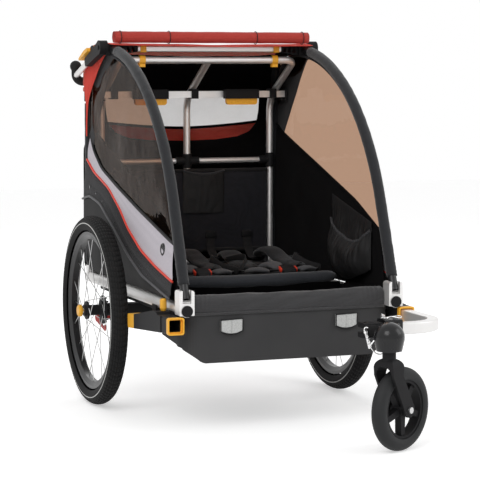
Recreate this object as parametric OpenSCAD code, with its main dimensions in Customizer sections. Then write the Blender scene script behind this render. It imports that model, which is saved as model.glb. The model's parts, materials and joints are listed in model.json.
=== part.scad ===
// Two-seat child bicycle trailer, set up as a stroller: wheels on push-button
// axles, folding seat frame, tilting handlebar and a caster on the tow bar.
// X runs to the right, Y to the rear and Z up. The wheel axle is the datum for
// every Y below; place() then centres the whole model on its own length.

/* [Main wheels] */
// Outer radius of the tyre
wheel_r = 252; // [240:1:270]
// Width of the tyre
tyre_w = 47; // [42:1:50]
// Thickness of the tyre wall
tyre_wall = 4; // [3:0.5:5]
// Distance between the centre planes of the two wheels
track = 700; // [694:1:730]
// Bead seat radius of the rim
bead_r = 203; // [196:1:206]
// Radial depth of the rim from bead seat to spoke holes
rim_depth = 13; // [10:1:18]
// Outer width of the rim
rim_w = 28; // [25:1:30]
// Spokes in each wheel, a multiple of four
spoke_n = 20; // [16:4:28]
// Radius of a spoke
spoke_r = 1.1; // [0.9:0.1:1.3]
// Radius of the hub flanges
flange_r = 24; // [20:1:28]
// Distance between the two hub flanges
flange_gap = 44; // [40:1:48]
// Radius of the hub barrel
barrel_r = 14; // [12:0.5:16]
// Radius of the brake disc on the hub
brake_ring_r = 38; // [34:1:42]
// Pegs on the brake disc, a multiple of four
peg_n = 12; // [8:4:12]
// Radius of a peg
peg_r = 2.5; // [2:0.25:3]
// How far the pegs stand out of the disc
peg_out = 6; // [5:0.5:7]

/* [Axles] */
// Radius of the push-button axle
axle_r = 6; // [5:0.5:7]
// Radius of the yellow release button
button_r = 16; // [14:0.5:18]
// Thickness of the release button
button_t = 10; // [8:0.5:12]
// Travel of the release button
button_travel = 5; // [3:0.5:5]

/* [Base frame] */
// Half the distance between the side rails
rail_x = 277; // [272:1:280]
// Height of the rails above the ground
rail_z = 310; // [305:1:316]
// Radius of a side rail
rail_r = 15; // [14:0.5:16]
// Wall of the frame tubes
tube_wall = 2; // [1.5:0.25:3]
// Rail length in front of the axle
rail_front = 547; // [535:1:555]
// Rail length behind the axle
rail_rear = 290; // [284:1:300]
// Radius of the cross tubes
cross_r = 12.5; // [11:0.5:14]
// Distance of the front cross tube ahead of the axle
front_cross = 470; // [460:1:475]
// Distance of the seat tube ahead of the axle
seat_tube_y = 235; // [220:1:245]
// Side of the square axle beam
beam = 30; // [24:1:32]

/* [Tub and bumper] */
// Half the width of the tub
tub_x = 254; // [245:1:256]
// Wall of the tub and the bumper
shell = 3; // [2:0.5:4]
// Height of the foot well's underside
well_z = 180; // [165:1:200]
// Height of the raised floor's underside
floor_z = 277; // [272:1:282]
// Distance of the tub's front wall ahead of the axle
tub_front = 494; // [490:1:498]
// Length of the foot well from front to back
well_len = 262; // [220:5:300]
// Half the width of the foot well
well_x = 200; // [180:1:230]
// Half the width of the bumper
bumper_x = 279; // [270:1:281]
// Distance of the bumper's face ahead of the axle
bumper_front = 516; // [508:1:520]
// Height of the bumper's lower edge
bumper_z0 = 176; // [165:1:190]
// Height of the bumper's upper edge
bumper_z1 = 300; // [298:1:303]
// Length of the bumper's side wings
wing = 156; // [120:4:170]
// Width of a reflector
reflector_w = 57; // [45:1:65]
// Height of a reflector
reflector_h = 40; // [30:1:44]

/* [Hoops] */
// Radius of a hoop tube
hoop_r = 11; // [10:0.5:11]
// Radius of the fabric sleeve round the hoop
sleeve_r = 15; // [14:0.5:15]
// Lean of the hoop's straight front leg
hoop_lean = 21; // [18:1:24]
// Radius of the long front bend
hoop_arc_r = 600; // [590:1:610]
// Radius of the rear top bend
corner_r = 75; // [65:1:80]
// Fall of the roof line behind the top
roof_fall = 10; // [8:1:12]

/* [Receivers and tow bar] */
// Half the distance between the two receivers
recv_x = 306; // [304:1:308]
// Height of the receivers
recv_z = 275; // [270:1:277]
// Outer side of a receiver's square housing
recv_out = 42; // [40:0.5:43]
// Side of the square tow bar
bar_side = 28; // [25:0.5:29]
// Wall of the tow bar
bar_wall = 2.5; // [2:0.25:3]
// Distance of the tow bar's cross run ahead of the axle
bar_y = 761; // [750:1:780]
// Radius of the tow bar's bend
bar_bend = 86; // [60:1:95]
// Lift of a receiver's lock pin
pin_lift = 18; // [12:1:20]

/* [Caster] */
// Radius of the caster wheel
caster_r = 99; // [95:1:105]
// Width of the caster tyre
caster_w = 37; // [32:1:38]
// Distance of the swivel axis ahead of the axle
swivel_y = 878; // [870:1:890]
// Sideways place of the swivel axis
swivel_x = 104; // [100:1:108]
// Trail of the caster wheel behind its swivel axis
trail = 44; // [36:1:48]
// Heading of the caster about its swivel axis at rest
caster_turn = 28; // [0:1:60]
// Spokes of the caster wheel
caster_spokes = 5; // [4:1:7]
// Radius of the dome over the swivel
dome_r = 36; // [34:0.5:38]

/* [Seat frame] */
// Radius of the seat frame tubes
leg_r = 10; // [9:0.5:10]
// Half the distance between the outer legs
leg_x = 252; // [246:1:252]
// Distance of the legs behind the axle
leg_y = 255; // [253:1:256]
// Height of the seat frame's pivot
pivot_z = 345; // [342:1:350]
// Height of the mid bar
mid_z = 631; // [600:1:660]
// Distance of the top bar behind the axle
top_bar_y = 70; // [60:1:80]
// Height of the top bar
top_bar_z = 915; // [910:1:918]
// Travel of a fold grip
grip_travel = 8; // [6:0.5:9]
// Width of a fold grip
grip_w = 92; // [80:1:100]

/* [Handlebar] */
// Height of the handlebar pivot
handle_z = 948; // [945:1:950]
// Drop angle of the handlebar arms at rest
handle_drop = 17; // [17:0.5:19]
// Distance of the grip behind the axle
grip_y = 318; // [316:1:330]
// Radius of the handlebar tube
handle_r = 8; // [7:0.5:9]
// Radius of the foam grip
foam_r = 12; // [11:0.5:13]

/* [Cloth] */
// Thickness of the fabric panels
cloth = 2; // [1.5:0.25:2.5]
// Radius of the rolled weather cover at its ends
roll_r = 17; // [15:0.5:18]

/* [Fits] */
// Clearance of a running fit
run = 0.08; // [0.05:0.01:0.1]
// Gap between a piece and the seat it rests on
seat = 0.3; // [0.2:0.05:0.4]

/* [Hidden] */
$fn = 64;
wheel_x = track / 2;
axle_z = wheel_r;
tyre_c = wheel_r - tyre_w / 2;
hub_half = flange_gap / 2 + 7;
disc_t = 3;
disc_in = wheel_x - hub_half + disc_t;
peg_at = brake_ring_r - peg_r - 2.5;
pawl_t = 3;
pawl_x = disc_in - peg_out + 0.5;
rim_in = bead_r - rim_depth;

hoop_cy = 110;
hoop_cz = top_bar_z + 30 - hoop_arc_r;
splice = 6;
butt = 0.02;
roof_cy = hoop_cy + (hoop_arc_r - corner_r) * sin(roof_fall) + splice * cos(roof_fall);
roof_cz = hoop_cz + (hoop_arc_r - corner_r) * cos(roof_fall) - splice * sin(roof_fall);
roof_end = [hoop_cy + hoop_arc_r * sin(roof_fall), hoop_cz + hoop_arc_r * cos(roof_fall)];
rear_leg_y = roof_cy + corner_r;
lean_y = hoop_cy - hoop_arc_r * cos(hoop_lean);
lean_z = hoop_cz + hoop_arc_r * sin(hoop_lean);
foot_z = rail_z + 28;
foot_y = lean_y - (lean_z - foot_z) * tan(hoop_lean);
function lean_at(z, t = 0) = foot_y + (z - foot_z) * tan(hoop_lean) + t / cos(hoop_lean);
sleeve_z0 = foot_z + 34;
clamp_half = 20;
catch_z = top_bar_z - 95;

slant = 30;
leg_bend = 70;
slant_len = (leg_y - leg_bend * (1 - cos(90 - slant)) - top_bar_y) / cos(slant);
bend_z = top_bar_z - slant_len * sin(slant) - leg_bend * sin(90 - slant);
crossbar_y = top_bar_y + 120;
crossbar_w = 12;
crossbar_h = 18;
flat_z = top_bar_z + 30;
flat_h = 16;
flat_x = 192;
arm_len = (grip_y - top_bar_y + 4) / cos(handle_drop);
arm_meet_z = handle_z - (grip_y - top_bar_y + 4) * tan(handle_drop);
grip_z = arm_meet_z - 15;
grip_bend = 20;

recv_y0 = rail_front + 3;
recv_y1 = wheel_r + 6;
lip = 3.5;
bezel_len = 12;
cap_len = 46;
bore_side = bar_side + 1;
pin_y = rail_front - 95;
bar_in = recv_y1 + 70;

brake_y = 78;
brake_z = axle_z - 30;
brake_shaft_r = 7;

trail_c = caster_r - caster_w / 2;
front_reach = max(swivel_y + dome_r, swivel_y - trail * sin(caster_turn) + trail_c * sin(caster_turn) + caster_w / 2);
rear_reach = grip_y + foam_r + 4;
mid_y = (rear_reach - front_reach) / 2;

module place() { translate([0, -mid_y, 0]) children(); }
module both() { for (s = [-1, 1]) scale_x(s) children(); }
module scale_x(s) { if (s > 0) children(); else mirror([1, 0, 0]) children(); }

// A round bar from p to q, or a tube where an inner radius is given
module rod(p, q, r, inner = 0) {
    d = q - p;
    translate(p) rotate([0, acos(d[2] / norm(d)), atan2(d[1], d[0])]) difference() {
        cylinder(h = norm(d), r = r);
        if (inner > 0) translate([0, 0, -1]) cylinder(h = norm(d) + 2, r = inner);
    }
}
// The same between two (Y, Z) points in an upright plane along the trailer
module side_rod(x, p, q, r, inner = 0) {
    d = q - p;
    translate([x, p[0], p[1]]) rotate([-atan2(d[0], d[1]), 0, 0]) difference() {
        cylinder(h = norm(d), r = r);
        if (inner > 0) translate([0, 0, -1]) cylinder(h = norm(d) + 2, r = inner);
    }
}
// The section of a bent bar or tube, set out from the bend's centre
module section(big_r, r, inner) {
    translate([big_r, 0]) difference() {
        circle(r);
        if (inner > 0) circle(inner);
    }
}
// Children drawn in the plane x = const: their X becomes Y and their Y becomes Z
module side_plane(x = 0) { translate([x, 0, 0]) rotate([90, 0, 90]) children(); }
// Children drawn in the plane y = const: their X stays and their Y becomes Z
module front_plane(y = 0) { translate([0, y, 0]) rotate([90, 0, 0]) children(); }
// A revolved profile about an axis along X, profile given as [radius, x]
module about_x(p, x = 0, y = 0, z = 0) {
    translate([x, y, z]) rotate([0, 90, 0]) rotate_extrude($fn = 128) polygon(p);
}
// A bent tube's arc in the side plane, angles from +Y towards +Z
module side_arc(x, cy, cz, big_r, a0, a1, r, inner = 0) {
    side_plane(x) translate([cy, cz, 0]) rotate([0, 0, a0])
        rotate_extrude(angle = a1 - a0, $fn = 128) section(big_r, r, inner);
}
function arc(cx, cy, r, a0, a1, n) =
    [for (i = [0:n]) let (a = a0 + (a1 - a0) * i / n) [cx + r * cos(a), cy + r * sin(a)]];
// An outline with each corner rounded to its own radius
function corner(a, b, c, r, n) =
    let (u = (a - b) / norm(a - b), v = (c - b) / norm(c - b))
    let (half = acos(max(-1, min(1, u * v))) / 2, t = r / tan(half), m = (u + v) / norm(u + v))
    let (o = b + m * (r / sin(half)), p = b + u * t - o, q = b + v * t - o)
    let (a0 = atan2(p[1], p[0]), turn = atan2(p[0] * q[1] - p[1] * q[0], p * q))
    [for (i = [0:n]) o + r * [cos(a0 + turn * i / n), sin(a0 + turn * i / n)]];
function rounded(pts, rs, n = 6) =
    let (k = len(pts))
    [for (i = [0:k - 1]) for (q = rs[i] > 0 ? corner(pts[(i + k - 1) % k], pts[i], pts[(i + 1) % k], rs[i], n)
        : [pts[i]]) q];
module square_rounded(side, r) { polygon(rounded([[-1, -1], [1, -1], [1, 1], [-1, 1]] * side / 2, [r, r, r, r])); }

// ---- main wheels -----------------------------------------------------------

module tyre(s) {
    bead = 2.5;
    bead_x = rim_w / 2 - 2 - seat;
    color([0.1, 0.1, 0.1]) scale_x(s) translate([wheel_x, 0, axle_z]) rotate([0, 90, 0]) {
        difference() {
            union() {
                rotate_extrude($fn = 128) translate([tyre_c, 0]) circle(tyre_w / 2);
            }
            rotate_extrude($fn = 128) translate([tyre_c, 0]) circle(tyre_w / 2 - tyre_wall);
            translate([0, 0, -tyre_w]) cylinder(h = 2 * tyre_w, r = bead_r + 9, $fn = 128);
        }
        for (side = [-1, 1]) difference() {
            translate([0, 0, side * (bead_x - bead / 2) - bead / 2]) cylinder(h = bead, r = bead_r + 13, $fn = 128);
            translate([0, 0, -tyre_w]) cylinder(h = 2 * tyre_w, r = bead_r + seat, $fn = 128);
        }
    }
}
module rim(s) {
    w = rim_w / 2;
    color([0.16, 0.16, 0.17]) scale_x(s) about_x([[bead_r + 6, w], [bead_r + 6, w - 1.7], [bead_r, w - 1.7],
        [bead_r, w - 4.5], [rim_in + 3, w - 7.5], [rim_in + 3, 7.5 - w], [bead_r, 4.5 - w],
        [bead_r, 1.7 - w], [bead_r + 6, 1.7 - w], [bead_r + 6, -w], [bead_r - 2, -w],
        [rim_in, 5.5 - w], [rim_in, w - 5.5], [bead_r - 2, w]], wheel_x, 0, axle_z);
}
// Crossed spokes: alternate spokes of one flange lean forwards and backwards
module spokes(s) {
    per = spoke_n / 2;
    step = 360 / per;
    color([0.75, 0.76, 0.78]) scale_x(s) translate([wheel_x, 0, axle_z])
        for (side = [-1, 1]) for (k = [0:per - 1]) {
            lead = k % 2 == 0 ? 1 : -1;
            a = step * k + (side > 0 ? step / 2 : 0);
            b = a + lead * step * 2;
            x0 = side * (flange_gap / 2 - 2.4) + lead * 1.8;
            r0 = flange_r + seat + spoke_r;
            r1 = rim_in - seat - spoke_r / 2;
            rod([x0, r0 * cos(a), r0 * sin(a)], [side * 2.5, r1 * cos(b), r1 * sin(b)], spoke_r);
        }
}
module hub(s) {
    f = flange_gap / 2;
    color([0.12, 0.12, 0.13]) scale_x(s) difference() {
        union() {
            about_x([[0, -hub_half], [barrel_r + 2, -hub_half], [barrel_r + 2, -f - 2], [flange_r, -f - 1],
                [flange_r, -f + 4], [barrel_r + 2, -f + 5], [barrel_r, -f + 9], [barrel_r, f - 9],
                [barrel_r + 2, f - 5], [flange_r, f - 4], [flange_r, f + 1], [barrel_r + 2, f + 2],
                [barrel_r + 1, hub_half], [0, hub_half]], wheel_x, 0, axle_z);
            translate([disc_in, 0, axle_z]) rotate([0, 90, 0]) cylinder(h = disc_t, r = brake_ring_r, $fn = 96);
        }
        translate([wheel_x - hub_half - 1, 0, axle_z]) rotate([0, 90, 0]) cylinder(h = 2 * hub_half + 2, r = axle_r + run);
        hub_pegs(peg_r + run, 0);
    }
    color([0.6, 0.6, 0.62]) scale_x(s) hub_pegs(peg_r, seat);
}
// The pegs sit in blind holes in the disc, and the brake pawl rises between two of them
module hub_pegs(r, back) {
    for (i = [0:peg_n - 1]) translate([0, 0, axle_z]) rotate([(i + 0.5) * 360 / peg_n, 0, 0])
        translate([disc_in - peg_out, 0, -peg_at]) rotate([0, 90, 0]) cylinder(h = peg_out + disc_t - 1 - back, r = r);
}

// ---- base frame ------------------------------------------------------------

socket_x = rail_x + 6;
socket_end = wheel_x - hub_half - 2;
plate_x = rail_x - 5;
plate_t = 10;
module wheel_axles() {
    color([0.8, 0.8, 0.82]) both() difference() {
        union() {
            translate([plate_x + 2, 0, axle_z]) rotate([0, 90, 0]) cylinder(h = wheel_x + hub_half + 0.5 - plate_x - 2, r = axle_r);
        }
        translate([wheel_x, 0, axle_z]) rotate([0, 90, 0]) cylinder(h = hub_half + 1, r = 3 + run);
    }
}
module release_button(s) {
    x0 = wheel_x + hub_half + 1 + button_travel;
    color([0.92, 0.67, 0.16]) scale_x(s) {
        about_x([[0, 0], [button_r - 1, 0], [button_r, 1.5], [button_r, button_t - 3], [button_r - 3, button_t],
            [0, button_t]], x0, 0, axle_z);
        translate([wheel_x + button_travel + 1, 0, axle_z]) rotate([0, 90, 0]) cylinder(h = x0 - wheel_x - button_travel, r = 3);
    }
}
module axle_brackets() {
    color([0.2, 0.2, 0.21]) both() difference() {
        union() {
            side_plane(plate_x) linear_extrude(plate_t) polygon(rounded([[-62, rail_z - 3], [-24, axle_z - 26],
                [40, axle_z - 26], [brake_y + 6, brake_z - 14], [brake_y + 16, brake_z + 6], [62, rail_z - 3]],
                [4, 10, 8, 10, 8, 4]));
            translate([plate_x, 0, axle_z]) rotate([0, 90, 0]) cylinder(h = socket_end - plate_x, r = 17);
        }
        translate([rail_x, -200, rail_z]) rotate([-90, 0, 0]) cylinder(h = 400, r = rail_r + seat);
        translate([plate_x - 1, 0, axle_z]) rotate([0, 90, 0]) cylinder(h = 60, r = axle_r + run);
        translate([plate_x - 1, brake_y, brake_z]) rotate([0, 90, 0]) cylinder(h = 60, r = brake_shaft_r + run);
    }
}
// Parking brake: a foot pedal turns a cross shaft whose pawls enter the hub rings
module brake_bar() {
    pedal_x = 120;
    tip = brake_ring_r + 3;
    color([0.72, 0.12, 0.1]) {
        rod([-pawl_x - pawl_t, brake_y, brake_z], [pawl_x + pawl_t, brake_y, brake_z], brake_shaft_r);
        both() side_plane(pawl_x) linear_extrude(pawl_t) {
            translate([brake_y, brake_z]) circle(12);
            polygon([[brake_y, brake_z + 9], [brake_y, brake_z - 11], [0, axle_z - tip - 17], [-5, axle_z - tip - 13],
                [-4, axle_z - tip - 1], [-3, axle_z - tip], [3, axle_z - tip], [4, axle_z - tip - 1],
                [4.2, axle_z - tip - 7], [12, axle_z - tip - 7.5]]);
        }
        translate([pedal_x, 0, 0]) side_plane(-6) linear_extrude(12) polygon(rounded([[brake_y - 4, brake_z - 10],
            [brake_y - 10, brake_z + 8], [brake_y + 12, brake_z + 14], [rail_rear + 4, brake_z + 6],
            [rail_rear + 4, brake_z - 2], [brake_y + 30, brake_z - 6]], [3, 3, 3, 2, 2, 6]));
        translate([pedal_x, rail_rear + 8, brake_z + 4]) linear_extrude(8) square_rounded(44, 9);
    }
}
module base_frame() {
    color([0.72, 0.72, 0.72]) {
        both() difference() {
            rod([rail_x, -rail_front, rail_z], [rail_x, rail_rear, rail_z], rail_r);
            rod([rail_x, -rail_front - 1, rail_z], [rail_x, rail_rear + 1, rail_z], rail_r - tube_wall);
        }
        for (y = [-front_cross, -seat_tube_y, rear_leg_y]) difference() {
            rod([-rail_x, y, rail_z], [rail_x, y, rail_z], cross_r);
            rod([-rail_x, y, rail_z], [rail_x, y, rail_z], cross_r - tube_wall);
            both() rod([rail_x, y - 40, rail_z], [rail_x, y + 40, rail_z], rail_r - tube_wall / 2);
        }
    }
}
module axle_beam() {
    color([0.72, 0.72, 0.72]) difference() {
        translate([-plate_x, -beam / 2, axle_z - beam / 2]) cube([2 * plate_x, beam, beam]);
        translate([-plate_x - 1, -beam / 2 + tube_wall, axle_z - beam / 2 + tube_wall])
            cube([2 * plate_x + 2, beam - 2 * tube_wall, beam - 2 * tube_wall]);
    }
}
module rail_end_plugs() {
    color([0.12, 0.12, 0.12]) both() for (e = [[-rail_front, -1], [rail_rear, 1]]) {
        rod([rail_x, e[0], rail_z], [rail_x, e[0] + e[1] * 3, rail_z], rail_r - 1);
        rod([rail_x, e[0] - e[1] * 10, rail_z], [rail_x, e[0], rail_z], rail_r - tube_wall - run);
    }
}

// ---- tub and bumper --------------------------------------------------------

rim_top = rail_z - cross_r - seat;
function well_profile(t) = rounded([[-tub_front + t, rim_top + t], [-tub_front + 12 + t, well_z + t],
    [-tub_front + well_len - t, well_z + t], [-tub_front + well_len + 26 - t, floor_z + 8],
    [-tub_front + well_len + 26 - t, rim_top + t]], [0, 34 - t, 24 - t, 0, 0]);
function floor_profile(t) = [[-tub_front + t, rim_top + t], [-tub_front + t, floor_z + t],
    [rear_leg_y - 18 - t, floor_z + t], [rear_leg_y - 16 - t, rim_top + t]];
module floor_tub() {
    color([0.16, 0.16, 0.17]) difference() {
        union() {
            side_plane(-tub_x) linear_extrude(2 * tub_x) polygon(floor_profile(0));
            side_plane(-well_x) linear_extrude(2 * well_x) polygon(well_profile(0));
            translate([-rail_x + 9, -tub_front, rim_top - shell])
                cube([2 * rail_x - 18, tub_front + rear_leg_y - 16, shell]);
        }
        side_plane(shell - tub_x) linear_extrude(2 * tub_x - 2 * shell) polygon(floor_profile(shell));
        side_plane(shell - well_x) linear_extrude(2 * well_x - 2 * shell) polygon(well_profile(shell));
        for (x = [-160:40:160]) translate([x, -tub_front + 60, well_z - 1])
            linear_extrude(shell + 2) polygon(rounded([[-4, 0], [4, 0], [4, 40], [-4, 40]], [4, 4, 4, 4]));
    }
}
function bumper_plan(t) = rounded([[bumper_x - t, -bumper_front + wing], [bumper_x - t, -bumper_front + t],
    [t - bumper_x, -bumper_front + t], [t - bumper_x, -bumper_front + wing]], [0, 44 - t, 44 - t, 0], 10);
// A shallow shell in front, whose side walls run back as wings inside the receivers
module bumper() {
    z0 = bumper_z0;
    z1 = bumper_z1;
    knee = z0 + 39;
    back = -tub_front - seat;
    wing_top = recv_z + 7;
    color([0.24, 0.24, 0.24]) difference() {
        intersection() {
            difference() {
                translate([0, 0, z0]) linear_extrude(z1 - z0) polygon(bumper_plan(0));
                translate([0, 0, z0 + shell]) linear_extrude(z1 - z0 - 2 * shell) polygon(bumper_plan(shell));
                translate([shell - bumper_x, back, z0 - 1]) cube([2 * bumper_x - 2 * shell, 400, z1 - z0 + 2]);
            }
            front_plane(0) linear_extrude(600) polygon(rounded([[-224, z0], [224, z0], [bumper_x, knee], [bumper_x, z1],
                [-bumper_x, z1], [-bumper_x, knee]], [26, 26, 30, 0, 0, 30], 8));
            side_plane(-300) linear_extrude(600) polygon([[-bumper_front - 1, z0 - 1], [back + 4, z0 - 1], [back + 4, knee + 2],
                [-bumper_front + wing, knee + 16], [-bumper_front + wing, wing_top], [back + 4, wing_top], [back + 4, z1 + 1],
                [-bumper_front - 1, z1 + 1]]);
        }
        both() rod([rail_x, -rail_front - 5, rail_z], [rail_x, -bumper_front + wing, rail_z], rail_r + seat);
    }
}
module front_reflectors() {
    w = reflector_w / 2;
    h = reflector_h / 2;
    color([0.9, 0.9, 0.9]) for (x = [-153, 153]) translate([x, 0, recv_z - 10])
        front_plane(-bumper_front - seat) linear_extrude(6) polygon(concat([[w, h - 2], [-w, h - 4]],
            arc(0, -h + 9 + 60, 69 - 2, 270 - 25, 270 + 25, 8)));
}

// ---- hoops -----------------------------------------------------------------

module hoop_leg(z0, z1, r, inner = 0) {
    side_rod(rail_x, [lean_at(z0), z0], [lean_at(z1), z1], r, inner);
}
module hoop_bend(a0, a1, r, inner = 0) { side_arc(rail_x, hoop_cy, hoop_cz, hoop_arc_r, a0, a1, r, inner); }
module hoop_corner(r, inner = 0) { side_arc(rail_x, roof_cy, roof_cz, corner_r, 0, 90 - roof_fall, r, inner); }
module hoop_splice(d0, d1, r, inner = 0) {
    along = [cos(roof_fall), -sin(roof_fall)];
    side_rod(rail_x, roof_end + d0 * along, roof_end + d1 * along, r, inner);
}
module hoop_rear(z0, z1, r, inner = 0) { rod([rail_x, rear_leg_y, z0], [rail_x, rear_leg_y, z1], r, inner); }
// Tube lengths meet end to end over couplings inside the bore
module side_hoops() {
    bore = hoop_r - tube_wall;
    c_out = hoop_r - tube_wall / 2;
    c_in = bore - 1.5;
    color([0.14, 0.14, 0.15]) both() {
        hoop_leg(foot_z, lean_z - butt, hoop_r, bore);
        hoop_leg(lean_z - 6, lean_z + 6, c_out, c_in);
        hoop_bend(90 - roof_fall, 180 - hoop_lean, hoop_r, bore);
        hoop_splice(butt, splice - butt, hoop_r, bore);
        hoop_splice(-3, splice + 3, c_out, c_in);
        hoop_corner(hoop_r, bore);
        hoop_rear(roof_cz - 6, roof_cz + 6, c_out, c_in);
        hoop_rear(foot_z, roof_cz - butt, hoop_r, bore);
    }
}
clamp_a0 = acos((top_bar_y - clamp_half - hoop_cy) / hoop_arc_r);
clamp_a1 = acos((top_bar_y + clamp_half - hoop_cy) / hoop_arc_r);
module hoop_sleeves() {
    gap = hoop_r + seat / 2;
    color([0.08, 0.08, 0.08]) both() {
        hoop_leg(sleeve_z0, lean_z - butt, sleeve_r, gap);
        hoop_bend(clamp_a0, 180 - hoop_lean, sleeve_r, gap);
        hoop_bend(90 - roof_fall, clamp_a1, sleeve_r, gap);
        hoop_splice(butt, splice - butt, sleeve_r, gap);
        hoop_corner(sleeve_r, gap);
        hoop_rear(catch_z + 24, roof_cz - butt, sleeve_r, gap);
        hoop_rear(foot_z + 8, catch_z - 24, sleeve_r, gap);
    }
}
module hoop_brackets() {
    w = 19;
    color([0.82, 0.82, 0.82]) both() {
        difference() {
            translate([rail_x, 0, 0]) front_plane(-rail_front + 36) linear_extrude(36)
                polygon(rounded([[-w, rail_z - 11], [w, rail_z - 11], [w, rail_z + 50], [-w, rail_z + 50]], [2, 2, 6, 6]));
            rod([rail_x, -rail_front - 9, rail_z], [rail_x, -rail_front + 60, rail_z], rail_r + run);
            hoop_leg(foot_z - 5, foot_z + 80, hoop_r + run);
            translate([rail_x - hoop_r, -rail_front - 1, rail_z + rail_r + 4]) cube([2 * hoop_r, 14, 40]);
            translate([rail_x - hoop_r, -rail_front + 29, rail_z + rail_r + 4]) cube([2 * hoop_r, 9, 24]);
        }
        difference() {
            rod([rail_x, rear_leg_y, rail_z + 8], [rail_x, rear_leg_y, foot_z + 5], hoop_r + 1.8);
            hoop_rear(foot_z, foot_z + 6, hoop_r + run);
            rod([rail_x, rear_leg_y - 30, rail_z], [rail_x, rear_leg_y + 30, rail_z], rail_r + run);
            rod([-rail_x, rear_leg_y, rail_z], [rail_x, rear_leg_y, rail_z], cross_r + run);
        }
    }
}

// ---- receivers and tow bar -------------------------------------------------

// Moulded housings: the mouth is square, and the body sinks and flares towards its yellow rear cap
cap_y = recv_y1 + cap_len;
module housing(y0, y1, bottom, top, r) {
    flare = 10;
    function out_at(y) = recv_x + recv_out / 2 + flare * (recv_y0 + y) / (recv_y0 - recv_y1);
    intersection() {
        side_plane(recv_x - 40) linear_extrude(80) polygon(rounded(concat([for (p = bottom) p],
            [for (i = [len(top) - 1:-1:0]) top[i]]), [for (i = [0:len(bottom) + len(top) - 1]) r[i]], 4));
        translate([0, 0, recv_z - 60]) linear_extrude(120) polygon([[recv_x - recv_out / 2, y0], [out_at(y0), y0],
            [out_at(y1), y1], [recv_x - recv_out / 2, y1]]);
    }
}
module receivers() {
    half = recv_out / 2;
    front = -recv_y0 + bezel_len;
    color([0.15, 0.15, 0.15]) both() difference() {
        union() {
            translate([recv_x, front + 60, recv_z]) rotate([90, 0, 0]) linear_extrude(60) square_rounded(recv_out, 6);
            housing(front + 40, -cap_y, [[front + 40, recv_z - half + 1], [-cap_y, recv_z - 34]],
                [[front + 40, recv_z + half - 1], [-pin_y - 22, recv_z + half], [-pin_y - 14, recv_z + half + 6],
                [-pin_y + 14, recv_z + half + 6], [-cap_y, recv_z + 2]], [0, 0, 0, 8, 6, 0, 0]);
            translate([rail_x - 8, -recv_y0 + 63, recv_z + 8]) cube([24, 30, rail_z - recv_z - 14]);
            translate([rail_x - 8, -recv_y1 - 95, recv_z - 4]) cube([24, 30, rail_z - recv_z - 2]);
        }
        translate([recv_x, -bar_in + 6, recv_z]) rotate([90, 0, 0]) linear_extrude(recv_y0 - bar_in + 10) square_rounded(bore_side, 3);
        rod([rail_x, -recv_y0, rail_z], [rail_x, -100, rail_z], rail_r + run);
        rod([recv_x, -pin_y, recv_z], [recv_x, -pin_y, recv_z + 60], 4 + run);
    }
}
module receiver_bezels() {
    color([0.92, 0.66, 0.14]) both() {
        translate([recv_x, -recv_y0 + bezel_len, recv_z]) rotate([90, 0, 0]) difference() {
            linear_extrude(bezel_len) square_rounded(recv_out, 6);
            translate([0, 0, -1]) linear_extrude(bezel_len + 2) square_rounded(bore_side, 3);
            translate([0, 0, 4]) linear_extrude(bezel_len) square_rounded(recv_out - 2 * lip, 5);
        }
        housing(-cap_y + butt, -recv_y1, [[-cap_y + butt, recv_z - 34], [-recv_y1, recv_z - 37]],
            [[-cap_y + butt, recv_z + 2], [-recv_y1, recv_z - 1]], [0, 5, 5, 0]);
    }
}
module lock_pin(s) {
    top = recv_z + recv_out / 2 + 6;
    color([0.92, 0.66, 0.14]) scale_x(s) translate([recv_x, -pin_y, 0]) {
        translate([0, 0, recv_z + bar_side / 2 - 6]) cylinder(h = top - recv_z - bar_side / 2 + 8, r = 4);
        translate([0, 0, top + seat]) cylinder(h = 6, r1 = 6, r2 = 8.5);
        translate([0, 0, top + seat + 6]) cylinder(h = 20, r = 8.5);
        translate([0, 0, top + seat + 26]) cylinder(h = 4, r1 = 8.5, r2 = 6);
    }
}
bar_end = swivel_x + 25;
module tow_bar() {
    color([0.78, 0.77, 0.75]) difference() {
        union() {
            translate([recv_x, -bar_in, recv_z]) rotate([90, 0, 0]) linear_extrude(bar_y - bar_bend - bar_in) square_rounded(bar_side, 4);
            translate([recv_x - bar_bend, -bar_y + bar_bend, recv_z]) rotate([0, 0, -90]) rotate_extrude(angle = 90, $fn = 128)
                translate([bar_bend, 0]) square_rounded(bar_side, 4);
            translate([bar_end, -bar_y, recv_z]) rotate([90, 0, 90]) linear_extrude(recv_x - bar_bend - bar_end) square_rounded(bar_side, 4);
        }
        union() {
            in = bar_side - 2 * bar_wall;
            translate([recv_x, -bar_in + 1, recv_z]) rotate([90, 0, 0]) linear_extrude(bar_y - bar_bend - bar_in + 1) square_rounded(in, 2);
            translate([recv_x - bar_bend, -bar_y + bar_bend, recv_z]) rotate([0, 0, -90]) rotate_extrude(angle = 90, $fn = 128)
                translate([bar_bend, 0]) square_rounded(in, 2);
            translate([bar_end - 1, -bar_y, recv_z]) rotate([90, 0, 90]) linear_extrude(recv_x - bar_bend - bar_end + 1) square_rounded(in, 2);
        }
        rod([recv_x, -pin_y, recv_z], [recv_x, -pin_y, recv_z + 30], 4 + run);
    }
}
head_w = 36;
head_len = 44;
head_x = bar_end - head_len - seat;
module hitch_head() {
    color([0.12, 0.12, 0.12]) difference() {
        translate([head_x, -bar_y, recv_z]) rotate([90, 0, 90]) linear_extrude(head_len) square_rounded(head_w, 5);
        translate([head_x - 1, -bar_y - head_w, recv_z - 6]) cube([25, 2 * head_w, 12]);
        rod([head_x + 11, -bar_y, recv_z - 40], [head_x + 11, -bar_y, recv_z + 40], 5);
        rod([head_x + 33, -bar_y - 40, recv_z - 10], [head_x + 33, -bar_y + 40, recv_z - 10], 2.6);
    }
}
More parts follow.
